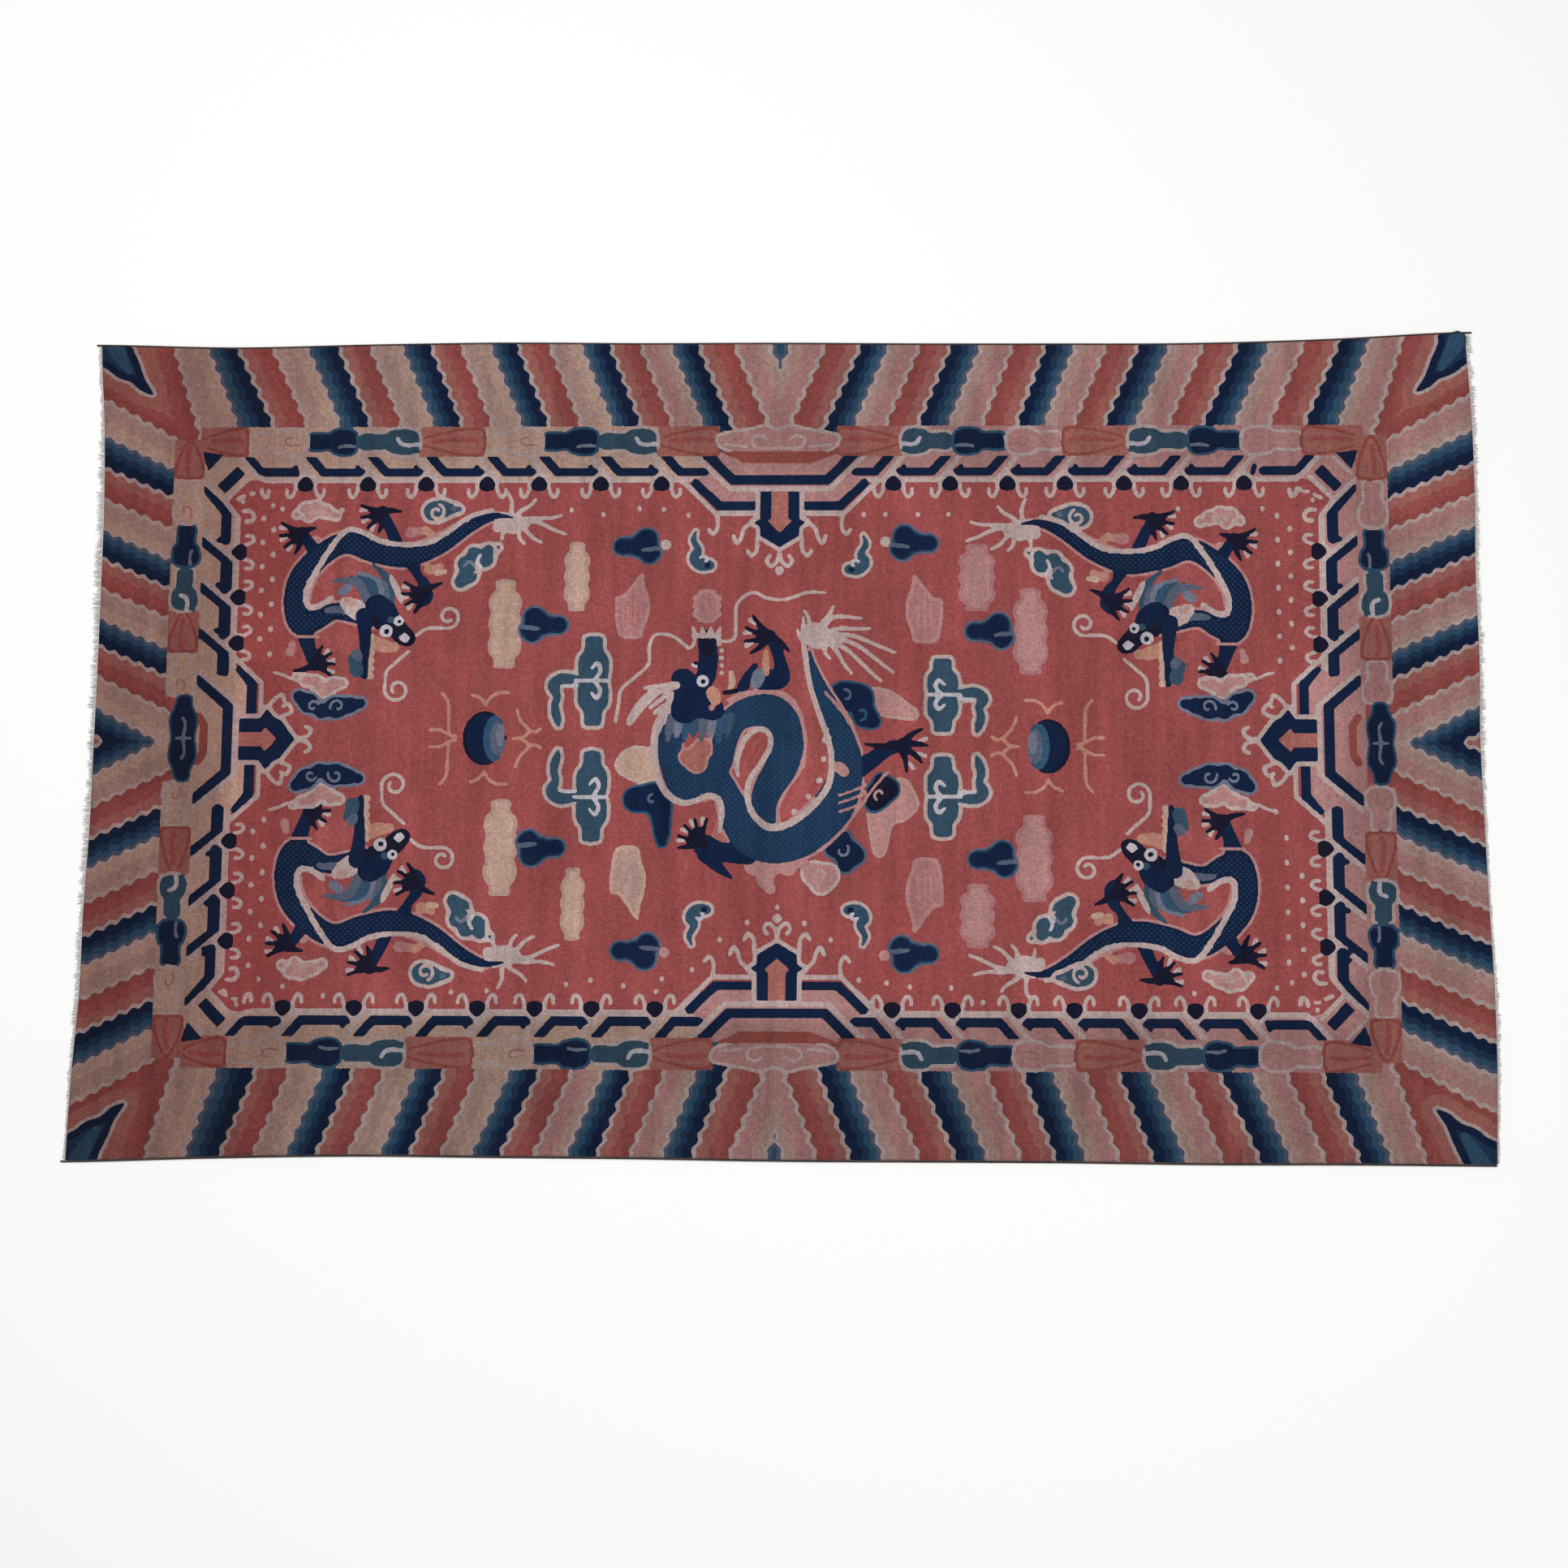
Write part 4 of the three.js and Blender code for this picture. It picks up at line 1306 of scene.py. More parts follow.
def triangle_dyes(xy, triangles, borders):
    """The dye of each triangle, the same all over an area, and which triangles lie on the cloth."""
    count = len(triangles)
    sides = np.concatenate([triangles[:, [0, 1]], triangles[:, [1, 2]], triangles[:, [2, 0]]])
    keys = edge_keys(sides, len(xy))
    owner = np.tile(np.arange(count), 3)
    order = np.argsort(keys, kind="stable")
    keys, owner = keys[order], owner[order]
    shared = np.nonzero((keys[:-1] == keys[1:]) & ~np.isin(keys[:-1], borders))[0]
    a, b = owner[shared], owner[shared + 1]
    area_of = np.arange(count)
    while True:
        least = np.minimum(area_of[a], area_of[b])
        before = area_of.copy()
        np.minimum.at(area_of, area_of[a], least)
        np.minimum.at(area_of, area_of[b], least)
        area_of = area_of[area_of]
        if (area_of == before).all() and (area_of[a] == area_of[b]).all():
            break
    p, q, r = (xy[triangles[:, k]] for k in range(3))
    to_q, to_r = q - p, r - p
    size = 0.5 * np.abs(to_q[:, 0] * to_r[:, 1] - to_r[:, 0] * to_q[:, 1])
    middle = (p + q + r) / 3
    column = np.clip(((middle[:, 0] - COLUMN_X[0]) / STEP + 0.5).astype(int), 0, len(COLUMN_X) - 1)
    row = np.clip(((middle[:, 1] - ROW_Y[0]) / STEP + 0.5).astype(int), 0, len(ROW_Y) - 1)
    votes = np.zeros((count, len(NAMES)))
    np.add.at(votes, (area_of, chart[row, column]), size)
    along, across = (middle[:, 0] + LENGTH / 2) / LENGTH, (middle[:, 1] + WIDTH / 2) / WIDTH
    within = (middle[:, 0] > left_rim(across)) & (middle[:, 0] < right_rim(across))
    within &= (middle[:, 1] > front_rim(along)) & (middle[:, 1] < back_rim(along))
    held = np.zeros(count)
    np.add.at(held, area_of, np.where(within, size, -size))
    return votes.argmax(axis=1)[area_of], held[area_of] > 0


def outer_loop(triangles, count):
    """The points round the outside of some triangles, in order."""
    sides = np.concatenate([triangles[:, [0, 1]], triangles[:, [1, 2]], triangles[:, [2, 0]]])
    keys = edge_keys(sides, count)
    values, first, times = np.unique(keys, return_index=True, return_counts=True)
    after = {int(i): int(j) for i, j in sides[first[times == 1]]}
    start = min(after)
    loop = [start]
    while after[loop[-1]] != start:
        loop.append(after[loop[-1]])
    return np.array(loop)


def round_the_rim(x, y, inset):
    """How far round the rim a place is, from 0 to 4, counted from the front left corner."""
    along, across = cloth_shares(x, y, inset)
    gaps = np.stack([across, 1 - along, 1 - across, along])
    side = gaps.argmin(axis=0)
    return np.choose(side, [along, 1 + across, 3 - along, 4 - across]), along, across


def zipped(lower, upper, lower_at, upper_at):
    """Triangles between two closed rings of points, both sorted by how far round they are."""
    faces = []
    i = j = 0
    n, m = len(lower), len(upper)
    while i < n or j < m:
        next_lower = lower_at[i + 1] if i + 1 < n else lower_at[0] + 4
        next_upper = upper_at[j + 1] if j + 1 < m else upper_at[0] + 4
        if j >= m or (i < n and next_lower <= next_upper):
            faces.append((lower[i % n], lower[(i + 1) % n], upper[j % m]))
            i += 1
        else:
            faces.append((lower[i % n], upper[(j + 1) % m], upper[j % m]))
            j += 1
    return faces


def rolled(loop, at):
    """A loop and its distances, started at the least distance."""
    start = int(np.argmin(at))
    return np.roll(loop, -start), np.roll(at, -start)


# The face that is walked on, in fine detail, and the flat back, where the same areas show
top_xy, top_triangles, top_dyes, top_loop = drawn_face(
    inset=ROUND_IN, tolerance=0.36, rim_spacing=8.0, swell_spacing=40.0)
back_xy, back_triangles, back_dyes, back_loop = drawn_face(
    inset=0.0, tolerance=1.4, rim_spacing=12.0, swell_spacing=None)
along, across = cloth_shares(top_xy[:, 0], top_xy[:, 1], ROUND_IN)
top_points = np.column_stack([top_xy, pile_height(along, across)])

# The rim rolls over from the pile's top to the foundation, through rings at these insets and heights
RIM_RINGS = ((1.2, 7.1), (0.0, 5.0), (0.0, 2.0))
FOUNDATION = len(NAMES)
FOUNDATION_COTTON = (0.40, 0.35, 0.30)
at, _, _ = round_the_rim(top_xy[top_loop, 0], top_xy[top_loop, 1], ROUND_IN)
top_loop, at = rolled(top_loop, at)
_, along, across = round_the_rim(top_xy[top_loop, 0], top_xy[top_loop, 1], ROUND_IN)
dye_at_rim = {}
for triangle, dye in zip(top_triangles.tolist(), top_dyes.tolist()):
    for corner in triangle:
        dye_at_rim[corner] = dye
points = [top_points]
faces = top_triangles.tolist()
face_dyes = top_dyes.tolist()
ring, count = top_loop, len(top_points)
for inset, height in RIM_RINGS:
    x, y = cloth_point(along, across, inset)
    points.append(np.column_stack([x, y, np.full(len(x), height)]))
    lower = np.arange(count, count + len(x))
    count += len(x)
    for k in range(len(x)):
        n = (k + 1) % len(x)
        faces += [(lower[k], lower[n], ring[n]), (lower[k], ring[n], ring[k])]
        face_dyes += [dye_at_rim[top_loop[k]]] * 2
    ring = lower
points.append(np.column_stack([back_xy, np.zeros(len(back_xy))]))
foot_at, _, _ = round_the_rim(back_xy[back_loop, 0], back_xy[back_loop, 1], 0.0)
back_loop, foot_at = rolled(back_loop, foot_at)
wall = zipped(back_loop + count, ring, foot_at, at)
faces += wall
face_dyes += [FOUNDATION] * len(wall)
faces += (back_triangles[:, ::-1] + count).tolist()
face_dyes += back_dyes.tolist()
points = np.vstack(points)


# The whole part is centred over the origin, so the outline moves with its cloth
MM_TO_A_METRE = 1000
low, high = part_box("knotted_cloth")
rim_x, rim_y = cloth_point(*rim_shares(spacing=2.0), 0.0)
SHIFT_X = (low[0] + high[0]) * MM_TO_A_METRE / 2 - (rim_x.min() + rim_x.max()) / 2
SHIFT_Y = (low[1] + high[1]) * MM_TO_A_METRE / 2 - (rim_y.min() + rim_y.max()) / 2


def made_mesh(name, vertices, sides):
    """A smooth mesh object from points in millimetres on the loom's own frame."""
    metres = (np.asarray(vertices, dtype=float) + (SHIFT_X, SHIFT_Y, 0.0)) / MM_TO_A_METRE
    mesh = bpy.data.meshes.new(name)
    mesh.from_pydata(metres.tolist(), [], [tuple(int(i) for i in face) for face in sides])
    mesh.validate()
    mesh.polygons.foreach_set("use_smooth", [True] * len(mesh.polygons))
    mesh.update()
    made = bpy.data.objects.new(name, mesh)
    bpy.context.collection.objects.link(made)
    return made


knotted_rug = made_mesh("knotted_rug", points, faces)
mesh = knotted_rug.data
colours = np.ones((len(NAMES) + 1, 4))
colours[:-1, :3] = [DYES[name] for name in NAMES]
colours[FOUNDATION, :3] = FOUNDATION_COTTON
dye_layer = mesh.color_attributes.new("dye", "FLOAT_COLOR", "CORNER")
dye_layer.data.foreach_set("color", colours[np.repeat(face_dyes, 3)].ravel())
# The back, the rolled rim and the pile each lie flat in a band of their own, from the foot of a square
unwrapped = mesh.uv_layers.new(name="OFBake")
loop_points = np.empty(len(mesh.loops), dtype=np.int32)
mesh.loops.foreach_get("vertex_index", loop_points)
loop_points = loop_points.reshape(-1, 3)
MARGIN = 0.002
PILE_SCALE, BACK_SCALE = 0.38 / MM_TO_A_METRE, 0.24 / MM_TO_A_METRE
RIM_FOOT, PILE_FOOT = 0.382, 0.405
RIM_SIDE, RIM_SCALE = 0.24, 0.002
flat = np.stack([(points[:, 0] + LENGTH / 2 + 5), (points[:, 1] + WIDTH / 2 + 15)], axis=1)
pile_flat = flat * PILE_SCALE + (MARGIN, PILE_FOOT)
back_flat = flat * BACK_SCALE + (MARGIN, MARGIN)
way_round, _, _ = round_the_rim(points[:, 0], points[:, 1], 0.0)
rim_flat = way_round[loop_points]
past_the_start = rim_flat.max(axis=1, keepdims=True) - rim_flat > 2
rim_flat = np.where(past_the_start, rim_flat + 4, rim_flat) * RIM_SIDE
rim_flat = np.stack([rim_flat + MARGIN, RIM_FOOT + points[loop_points, 2] * RIM_SCALE], axis=2)
is_pile = (np.arange(len(faces)) < len(top_triangles))[:, None, None]
is_back = (np.arange(len(faces)) >= len(faces) - len(back_triangles))[:, None, None]
unwrapped_at = np.where(is_back, back_flat[loop_points], rim_flat)
unwrapped_at = np.where(is_pile, pile_flat[loop_points], unwrapped_at)
unwrapped.data.foreach_set("uv", unwrapped_at.astype(np.float32).ravel())


class Bench:
    """Where a finish is mixed: its node tree, with short ways to add to it."""
    def __init__(self, tree):
        self.tree = tree

    def feed(self, socket, value):
        """Feeds a socket from another one, or sets its own value."""
        if isinstance(value, bpy.types.NodeSocket):
            self.tree.links.new(value, socket)
        else:
            socket.default_value = value

    def add(self, kind, settings=(), **sockets):
        """Adds a node. A socket goes by its name or, after an underscore, by its number."""
        made = self.tree.nodes.new("ShaderNode" + kind)
        for key, value in dict(settings).items():
            setattr(made, key, value)
        for key, value in sockets.items():
            self.feed(made.inputs[int(key[1:]) if key[0] == "_" else key], value)
        return made

    def place(self):
        return self.add("TexCoord").outputs["Object"]

    def noise(self, at, scale, detail, roughness=0.6):
        made = self.add("TexNoise", Vector=at, Scale=scale, Detail=detail, Roughness=roughness)
        return made.outputs["Fac"]

    def ranged(self, value, low, high, new_low, new_high, smooth=False):
        """A value carried over from one range to another."""
        settings = {"interpolation_type": "SMOOTHSTEP" if smooth else "LINEAR"}
        node = self.add("MapRange", settings, Value=value, _1=low, _2=high, _3=new_low, _4=new_high)
        return node.outputs["Result"]

    def reckon(self, operation, *values):
        """One step of reckoning with numbers."""
        sockets = {"_" + str(k): value for k, value in enumerate(values)}
        return self.add("Math", {"operation": operation}, **sockets).outputs["Value"]

    def reckon_vector(self, operation, *values):
        """One step of reckoning with places or colours."""
        sockets = {"_" + str(k): value for k, value in enumerate(values)}
        return self.add("VectorMath", {"operation": operation}, **sockets).outputs["Vector"]

    def mixed(self, factor, first, second):
        """One colour run into another."""
        return self.add("Mix", {"data_type": "RGBA"}, Factor=factor, _6=first, _7=second).outputs[2]

    def relief(self, shader, height, strength, depth):
        bump = self.add("Bump", Strength=strength, Distance=depth, Height=height)
        self.feed(shader.inputs["Normal"], bump.outputs["Normal"])


def yarn_finish(name, sheen):
    """A material for yarn: hardly any gloss, and a faint sheen of fibres."""
    finish = bpy.data.materials.new(name)
    finish.use_nodes = True
    shader = finish.node_tree.nodes["Principled BSDF"]
    shader.inputs["Specular IOR Level"].default_value = 0.05
    shader.inputs["Sheen Weight"].default_value = sheen
    shader.inputs["Sheen Roughness"].default_value = 0.6
    return finish, shader, Bench(finish.node_tree)


def effect(name, inputs, outputs):
    """An effect that several finishes share: its group, its bench, what it is given and what it gives."""
    group = bpy.data.node_groups.new(name, "ShaderNodeTree")
    for socket, kind in inputs.items():
        group.interface.new_socket(socket, in_out="INPUT", socket_type="NodeSocket" + kind)
    for socket, kind in outputs.items():
        group.interface.new_socket(socket, in_out="OUTPUT", socket_type="NodeSocket" + kind)
    given = group.nodes.new("NodeGroupInput").outputs
    result = group.nodes.new("NodeGroupOutput").inputs
    return group, Bench(group), given, result


# Loose fibres on any yarn: how high they stand, and how dull they are
loose_fibres, bench, given, result = effect(
    "loose_fibres", {"Place": "Vector", "Scale": "Float", "Rubbed": "Float", "Dull": "Float"},
    {"Height": "Float", "Roughness": "Float"})
height = bench.noise(given["Place"], given["Scale"], 3.0, 0.7)
bench.feed(result["Height"], height)
bench.feed(result["Roughness"], bench.ranged(height, 0.3, 0.7, given["Rubbed"], given["Dull"]))

# Dust and fading, which lie in patches over a dye
patchy_wear, bench, given, result = effect(
    "patchy_wear",
    {"Place": "Vector", "Scale": "Float", "Start": "Float", "Full": "Float", "Most": "Float",
     "Dye": "Color", "Worn": "Color"},
    {"Color": "Color"})
patches = bench.noise(given["Place"], given["Scale"], 4.0, 0.7)
share = bench.ranged(patches, given["Start"], given["Full"], 0.0, given["Most"])
bench.feed(result["Color"], bench.mixed(share, given["Dye"], given["Worn"]))

wool, shader, bench = yarn_finish("clipped_wool", 0.02)
dye = bench.add("Attribute", {"attribute_name": "dye"}).outputs["Color"]
place = bench.place()
# One tuft of wool to each knot, every one a shade of its own
KNOT = 3.6
in_mm = bench.reckon_vector("MULTIPLY", place, (MM_TO_A_METRE, MM_TO_A_METRE, 0.0))
knot_cell = bench.reckon_vector("SNAP", in_mm, (KNOT, KNOT, KNOT))
knot_shade = bench.add("TexWhiteNoise", {"noise_dimensions": "2D"}, Vector=knot_cell).outputs["Value"]
# Bands of dye lots across the warp, wide soft blotches, and a fine mottle
bands_at = bench.add("Mapping", Vector=place, Scale=(1.0, 0.09, 1.0)).outputs["Vector"]
bands = bench.noise(bands_at, 38.0, 3.0)
blotches = bench.noise(place, 7.0, 4.0)
mottle = bench.noise(place, 130.0, 3.0, 0.65)
# The tuft is a little dome that bends as it likes, with painted shade in the gap between it and the next
from_corner = bench.reckon_vector("SUBTRACT", in_mm, knot_cell)
from_middle = bench.reckon_vector("SUBTRACT", from_corner, (KNOT / 2, KNOT / 2, 0.0))
BEND = 2.4
bent = bench.add("TexNoise", Vector=place, Scale=330.0, Detail=1.0).outputs["Color"]
bent = bench.reckon_vector("MULTIPLY_ADD", bent, (BEND, BEND, 0.0), (-BEND / 2, -BEND / 2, 0.0))
from_middle = bench.reckon_vector("ADD", from_middle, bent)
from_tuft = bench.add("VectorMath", {"operation": "LENGTH"}, _0=from_middle)
dome = bench.ranged(from_tuft.outputs["Value"], 0.4, 2.5, 1.0, 0.0, smooth=True)
fibres = bench.add("Group", {"node_tree": loose_fibres}, Place=place, Scale=1100.0, Rubbed=0.86,
                   Dull=0.98)
# The border is darker, the front and the left of it most
MOST_BORDER_DARKENING = 0.29
apart = bench.add("SeparateXYZ", Vector=place).outputs
rim_x = bench.ranged(bench.reckon("ABSOLUTE", apart["X"]), 1.00, 1.07, 0.0, MOST_BORDER_DARKENING, smooth=True)
rim_y = bench.ranged(bench.reckon("ABSOLUTE", apart["Y"]), 0.485, 0.54, 0.0, MOST_BORDER_DARKENING, smooth=True)
lean = bench.reckon("MULTIPLY_ADD", apart["Y"], -0.32, 1.0)
lean = bench.reckon("MULTIPLY_ADD", apart["X"], -0.10, lean)
border_darkening = bench.reckon("MULTIPLY", bench.reckon("MAXIMUM", rim_x, rim_y), lean)
shade = bench.reckon("SUBTRACT", 1.0, border_darkening)
# Each mask, the part of its range that counts, and the shade that it gives at either end of that
for mask, low, high, darkest, lightest in (
    (knot_shade, 0.0, 1.0, 1.07, 1.35),
    (bands, 0.3, 0.7, 0.86, 1.14),
    (blotches, 0.3, 0.7, 0.86, 1.12),
    (mottle, 0.3, 0.7, 0.84, 1.16),
    # The dome's row is painted shade, darker in the gaps between the tufts
    (dome, 0.0, 1.0, 0.84, 1.09),
    (fibres.outputs["Height"], 0.3, 0.7, 0.82, 1.18),
):
    shade = bench.reckon("MULTIPLY", shade, bench.ranged(mask, low, high, darkest, lightest))
tinted = bench.add("VectorMath", {"operation": "SCALE"}, Vector=dye, Scale=shade).outputs["Vector"]
# Towards the left end the colour grows darker and a deeper red
LEFT_END_DARKENING = (0.84, 0.74, 0.74)
deeper = bench.ranged(apart["X"], -1.0, -0.80, 1.0, 0.0, smooth=True)
left_end = bench.add("Mix", {"data_type": "VECTOR"}, Factor=deeper, _4=(1.0, 1.0, 1.0), _5=LEFT_END_DARKENING)
tinted = bench.reckon_vector("MULTIPLY", tinted, left_end.outputs[1])
dusty = bench.add("Group", {"node_tree": patchy_wear}, Place=place, Scale=22.0, Start=0.3, Full=0.75,
                  Most=0.016, Dye=tinted, Worn=(0.30, 0.25, 0.23, 1))
bench.feed(shader.inputs["Base Color"], dusty.outputs["Color"])
bench.feed(shader.inputs["Roughness"], fibres.outputs["Roughness"])
bench.relief(shader, bench.reckon("MULTIPLY_ADD", fibres.outputs["Height"], 1.3, dome), 0.8, 0.0012)
mesh.materials.append(wool)

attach(knotted_rug, "root")
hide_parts("knotted_cloth")


# Overcast edges: a cord of cotton along each long side, wound close with dark brown wool.
# At three corners the wound cord runs on past the cloth.
OVERCAST_RADIUS = 2.0
SEAM = 0.3
# How far each cord runs on at the left and at the right
OVERCAST_TAILS = {"front": (10.0, 1.0), "back": (11.0, 14.0)}
WINDING = 2.4
WINDING_DEPTH = 0.42
SLICE = 0.6
AROUND = 10


def overcast_cord(side):
    """The wound cord beside one long side, from tail to tail."""
    sign, across = (-1, 0.0) if side == "front" else (1, 1.0)
    left, right = OVERCAST_TAILS[side]
    run = np.arange(0.0, 1.0, SLICE / LENGTH)
    x, y = cloth_point(run, np.full(len(run), across), 0.0)
    before = np.arange(x[0] - left, x[0], SLICE)
    after = np.arange(x[-1] + SLICE, x[-1] + right, SLICE)
    x = np.concatenate([before, x, after])
    y = np.concatenate([np.full(len(before), y[0]), y, np.full(len(after), y[-1])])
    y = y + sign * (SEAM + OVERCAST_RADIUS)
    turn = 2 * math.pi * np.arange(AROUND) / AROUND
    phase = 2 * math.pi * x[:, None] / WINDING - turn[None, :]
    radius = OVERCAST_RADIUS - WINDING_DEPTH * (0.5 + 0.5 * np.cos(phase))
    taper = np.clip(np.minimum(np.arange(len(x)), np.arange(len(x))[::-1]) / 2.0, 0.25, 1.0)[:, None]
    radius = radius * taper
    points = np.stack([
        np.broadcast_to(x[:, None], radius.shape),
        y[:, None] + radius * np.cos(turn),
        np.maximum(OVERCAST_RADIUS + radius * np.sin(turn), 0.0),
    ], axis=2).reshape(-1, 3)
    faces = []
    for s in range(len(x) - 1):
        for k in range(AROUND):
            a, b = s * AROUND + k, s * AROUND + (k + 1) % AROUND
            faces.append((a, b, b + AROUND, a + AROUND))
    last = (len(x) - 1) * AROUND
    faces.append(tuple(range(AROUND - 1, -1, -1)))
    faces.append(tuple(range(last, last + AROUND)))
    return made_mesh(side + "_overcast_cord", points, faces)


overcast_wool, shader, bench = yarn_finish("dark_overcast_wool", 0.1)
place = bench.place()
along_the_yarn = bench.add("Mapping", Vector=place, Scale=(1.0, 0.25, 0.25)).outputs["Vector"]
fibres = bench.add("Group", {"node_tree": loose_fibres}, Place=along_the_yarn, Scale=700.0, Rubbed=0.80,
                   Dull=0.97)
thread = bench.mixed(fibres.outputs["Height"], (0.016, 0.012, 0.012, 1), (0.055, 0.036, 0.032, 1))
worn = bench.add("Group", {"node_tree": patchy_wear}, Place=place, Scale=14.0, Start=0.42, Full=0.68,
                 Most=0.3, Dye=thread, Worn=(0.17, 0.10, 0.085, 1))
bench.feed(shader.inputs["Base Color"], worn.outputs["Color"])
bench.feed(shader.inputs["Roughness"], fibres.outputs["Roughness"])
bench.relief(shader, fibres.outputs["Height"], 0.4, 0.0004)

for side in ("front", "back"):
    cord = overcast_cord(side)
    cord.data.materials.append(overcast_wool)
    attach(cord, "root")
    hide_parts(side + "_overcast_edge")


# Warp ends: past the last knots a narrow strip of plain web, and out of it the cut cotton
# warps, frayed into short uneven tufts that lie on the floor.
# How far the tufts reach, at eleven places from front to back
WARP_REACH = {
    "left": (6, 8, 11, 11, 14, 12, 15, 15, 16, 9, 8),
    "right": (5, 8, 8, 6, 7, 11, 10, 10, 9, 10, 12),
}
TUFTS = 125
WEB_WIDTH = 3.0
WEB_TOP = 2.5
WEB_ROWS = 500
WEB_SIDES = 5
YARNS = 7
YARN_SIDES = 4
YARN_TAPER = (1.0, 0.95, 0.8, 0.35)
YARN_FLATNESS = 0.85


def uneven(count, kind):
    """A repeatable number from 0 to 1 for each count."""
    wave = math.sin(count * 12.9898 + kind * 78.233) * 43758.5453
    return wave - math.floor(wave)


def yarn_tube(points, faces, line, width):
    """A thin closed yarn along a line of four places, thinner at its tip."""
    first = len(points)
    line = np.array(line, dtype=float)
    run = line[-1, :2] - line[0, :2]
    run = run / max(np.hypot(*run), 1e-6)
    sideways = np.array([-run[1], run[0]])
    for (x, y, z), taper in zip(line, YARN_TAPER):
        r = width * taper / 2
        points.append((x + sideways[0] * r, y + sideways[1] * r, z))
        points.append((x, y, z + r * YARN_FLATNESS))
        points.append((x - sideways[0] * r, y - sideways[1] * r, z))
        points.append((x, y, max(z - r * YARN_FLATNESS, 0.0)))
    for s in range(len(line) - 1):
        for k in range(YARN_SIDES):
            a, b = first + s * YARN_SIDES + k, first + s * YARN_SIDES + (k + 1) % YARN_SIDES
            faces.append((a, a + YARN_SIDES, b + YARN_SIDES, b))
    last = first + (len(line) - 1) * YARN_SIDES
    faces.append((first, first + 1, first + 2, first + 3))
    faces.append((last + 3, last + 2, last + 1, last))


def warp_fringe(end):
    """One end's web and all its tufts in one mesh."""
    sign = -1 if end == "left" else 1
    corner = 0.0 if end == "left" else 1.0
    rim = left_rim if end == "left" else right_rim
    start, stop = float(front_rim(corner)) + 1.0, float(back_rim(corner)) - 1.0
    pitch = (stop - start) / TUFTS
    points, faces = [], []

    def share(y):
        return (y - start + 1.0) / (stop - start + 2.0)

    for s in range(WEB_ROWS + 1):
        y = start + (stop - start) * s / WEB_ROWS
        x = float(rim(share(y))) + sign * SEAM
        top = WEB_TOP - 0.5 + 0.5 * math.sin(s * math.pi / 2 + 0.4)
        edge = WEB_WIDTH * (0.92 + 0.08 * math.sin(s * 2.3))
        points += [(x, y, 0.0), (x, y, top), (x + sign * edge * 0.8, y, top), (x + sign * edge, y, 0.9),
                   (x + sign * edge * 0.9, y, 0.0)]
    for s in range(WEB_ROWS):
        for k in range(WEB_SIDES):
            a, b = s * WEB_SIDES + k, s * WEB_SIDES + (k + 1) % WEB_SIDES
            faces.append((a, b, b + WEB_SIDES, a + WEB_SIDES))
    faces.append(tuple(reversed(range(WEB_SIDES))))
    faces.append(tuple(WEB_ROWS * WEB_SIDES + k for k in range(WEB_SIDES)))
    for tuft in range(TUFTS):
        middle = start + pitch * (tuft + 0.5)
        mean = float(smooth_along(WARP_REACH[end], share(middle)))
        fray = 1 + 0.45 * (2 * uneven(tuft, sign) - 1)
        reach = WEB_WIDTH + max(mean - WEB_WIDTH, WEB_WIDTH) * fray
        lean = 1.6 * (2 * uneven(tuft, sign + 3) - 1)
        for k in range(YARNS):
            seed = tuft * YARNS + k
            spread = (k / (YARNS - 1) - 0.5) * pitch * (0.62 + 0.25 * uneven(seed, 5))
            y = middle + spread
            x = float(rim(share(y))) + sign * (SEAM + WEB_WIDTH * 0.7)
            far = (reach - WEB_WIDTH * 0.7) * (0.62 + 0.42 * uneven(seed, 7))
            drift = lean + 2.6 * (uneven(seed, 9) - 0.5) + spread * 0.25
            lift = 0.55 + 0.9 * uneven(seed, 11)
            width = 0.9 + 0.5 * uneven(seed, 13)
            line = [(x, y, 1.3),
                    (x + sign * far * 0.35, y + drift * 0.2, lift + 0.5),
                    (x + sign * far * 0.7, y + drift * 0.6, lift),
                    (x + sign * far, y + drift, 0.45)]
            yarn_tube(points, faces, line, width)
    if sign > 0:
        faces = [face[::-1] for face in faces]
    return made_mesh(end + "_warp_fringe", points, faces)


cotton, shader, bench = yarn_finish("greyed_cotton", 0.1)
place = bench.place()
lint = bench.add("Group", {"node_tree": loose_fibres}, Place=place, Scale=420.0, Rubbed=0.86, Dull=0.98)
yarn = bench.mixed(lint.outputs["Height"], (0.50, 0.47, 0.45, 1), (0.74, 0.72, 0.70, 1))
grimy = bench.add("Group", {"node_tree": patchy_wear}, Place=place, Scale=30.0, Start=0.35, Full=0.7,
                  Most=0.7, Dye=yarn, Worn=(0.40, 0.35, 0.33, 1))
bench.feed(shader.inputs["Base Color"], grimy.outputs["Color"])
bench.feed(shader.inputs["Roughness"], lint.outputs["Roughness"])
bench.relief(shader, lint.outputs["Height"], 0.5, 0.0003)

for end in ("left", "right"):
    fringe = warp_fringe(end)
    fringe.data.materials.append(cotton)
    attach(fringe, "root")
    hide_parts(end + "_warp_ends")


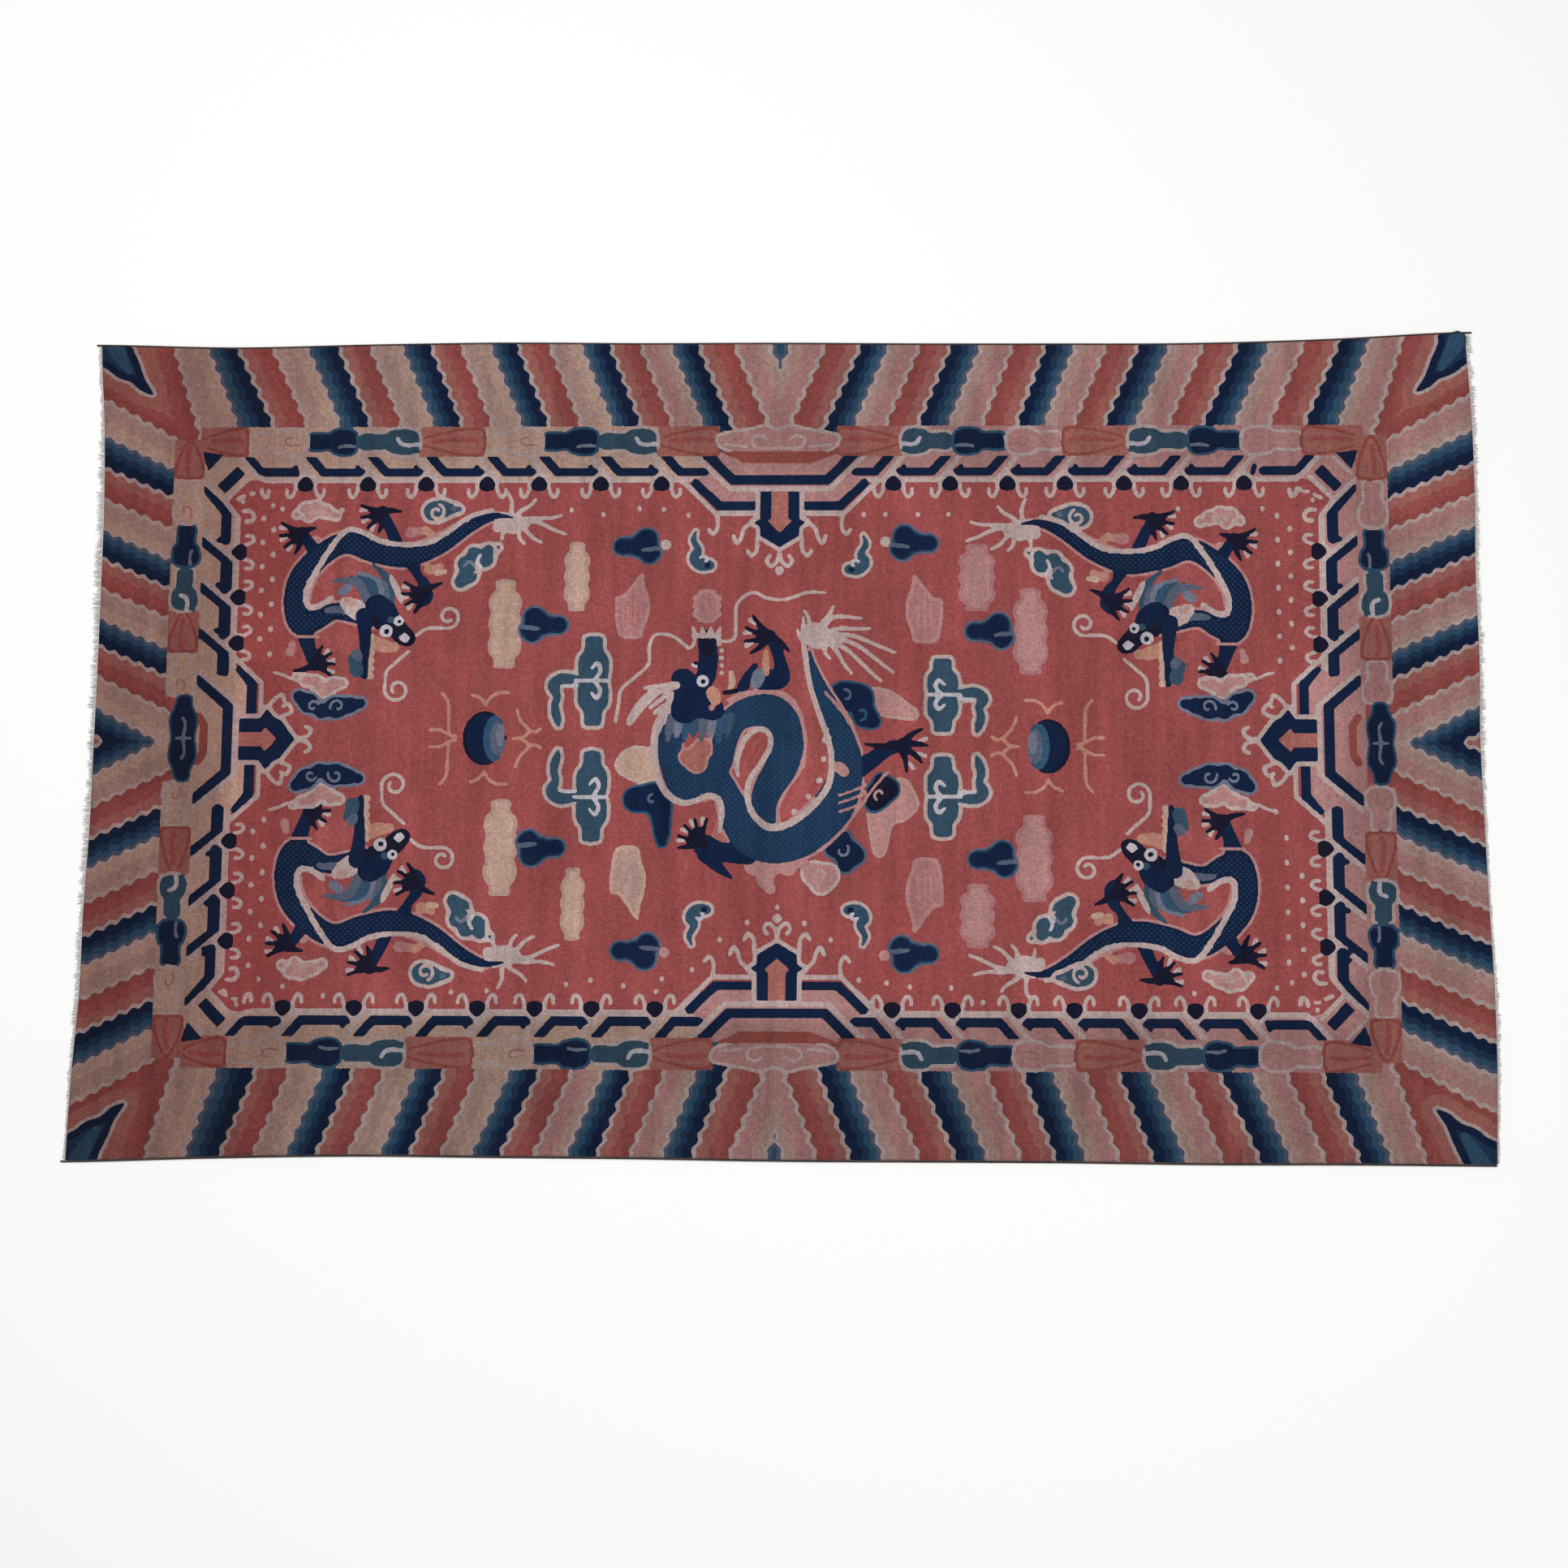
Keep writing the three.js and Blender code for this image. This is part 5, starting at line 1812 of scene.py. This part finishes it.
# The stage: a plain pale floor under the rug, two soft lights high over it, and the camera
# nearly overhead, a little towards the front.
FLOOR_REACH = 9
floor_mesh = bpy.data.meshes.new("floor")
floor_corners = [(x * FLOOR_REACH, y * FLOOR_REACH, 0) for x, y in ((-1, -1), (1, -1), (1, 1), (-1, 1))]
floor_mesh.from_pydata(floor_corners, [], [(0, 1, 2, 3)])
floor = bpy.data.objects.new("floor", floor_mesh)
bpy.context.collection.objects.link(floor)
paper, shader, _ = yarn_finish("pale_floor", 0.0)
shader.inputs["Roughness"].default_value = 0.9
shader.inputs["Base Color"].default_value = (0.90, 0.90, 0.89, 1)
floor_mesh.materials.append(paper)


def soft_light(name, at, size, power):
    """A round soft light that points at the middle of the rug."""
    lamp = bpy.data.lights.new(name, "AREA")
    lamp.shape = "DISK"
    lamp.size = size
    lamp.energy = power
    light = bpy.data.objects.new(name, lamp)
    light.location = at
    light.rotation_euler = (-Vector(at)).to_track_quat("-Z", "Y").to_euler()
    bpy.context.collection.objects.link(light)


soft_light("overhead_light", (-1.6, 1.8, 6.5), 4.5, 262)
soft_light("fill_light", (2.4, -2.2, 6.8), 4.5, 205)
world = bpy.data.worlds.new("studio")
world.use_nodes = True
world.node_tree.nodes["Background"].inputs["Color"].default_value = (1.0, 1.0, 1.0, 1)
world.node_tree.nodes["Background"].inputs["Strength"].default_value = 0.345
bpy.context.scene.world = world
bpy.context.scene.view_settings.view_transform = "Standard"

CAMERA_AT = (175.2, -917.8, 5328.0)
CAMERA_TURN = (8.99, 1.71, 0.36)
SENSOR_WIDTH = 36.0
HALF_VIEW = 15.0
camera_data = bpy.data.cameras.new("camera")
camera_data.sensor_width = SENSOR_WIDTH
camera_data.lens = SENSOR_WIDTH / 2 / math.tan(math.radians(HALF_VIEW))
camera = bpy.data.objects.new("camera", camera_data)
camera.location = [(at + shift) / MM_TO_A_METRE for at, shift in zip(CAMERA_AT, (SHIFT_X, SHIFT_Y, 0.0))]
camera.rotation_euler = Euler([math.radians(a) for a in CAMERA_TURN], "XYZ")
bpy.context.collection.objects.link(camera)
bpy.context.scene.camera = camera
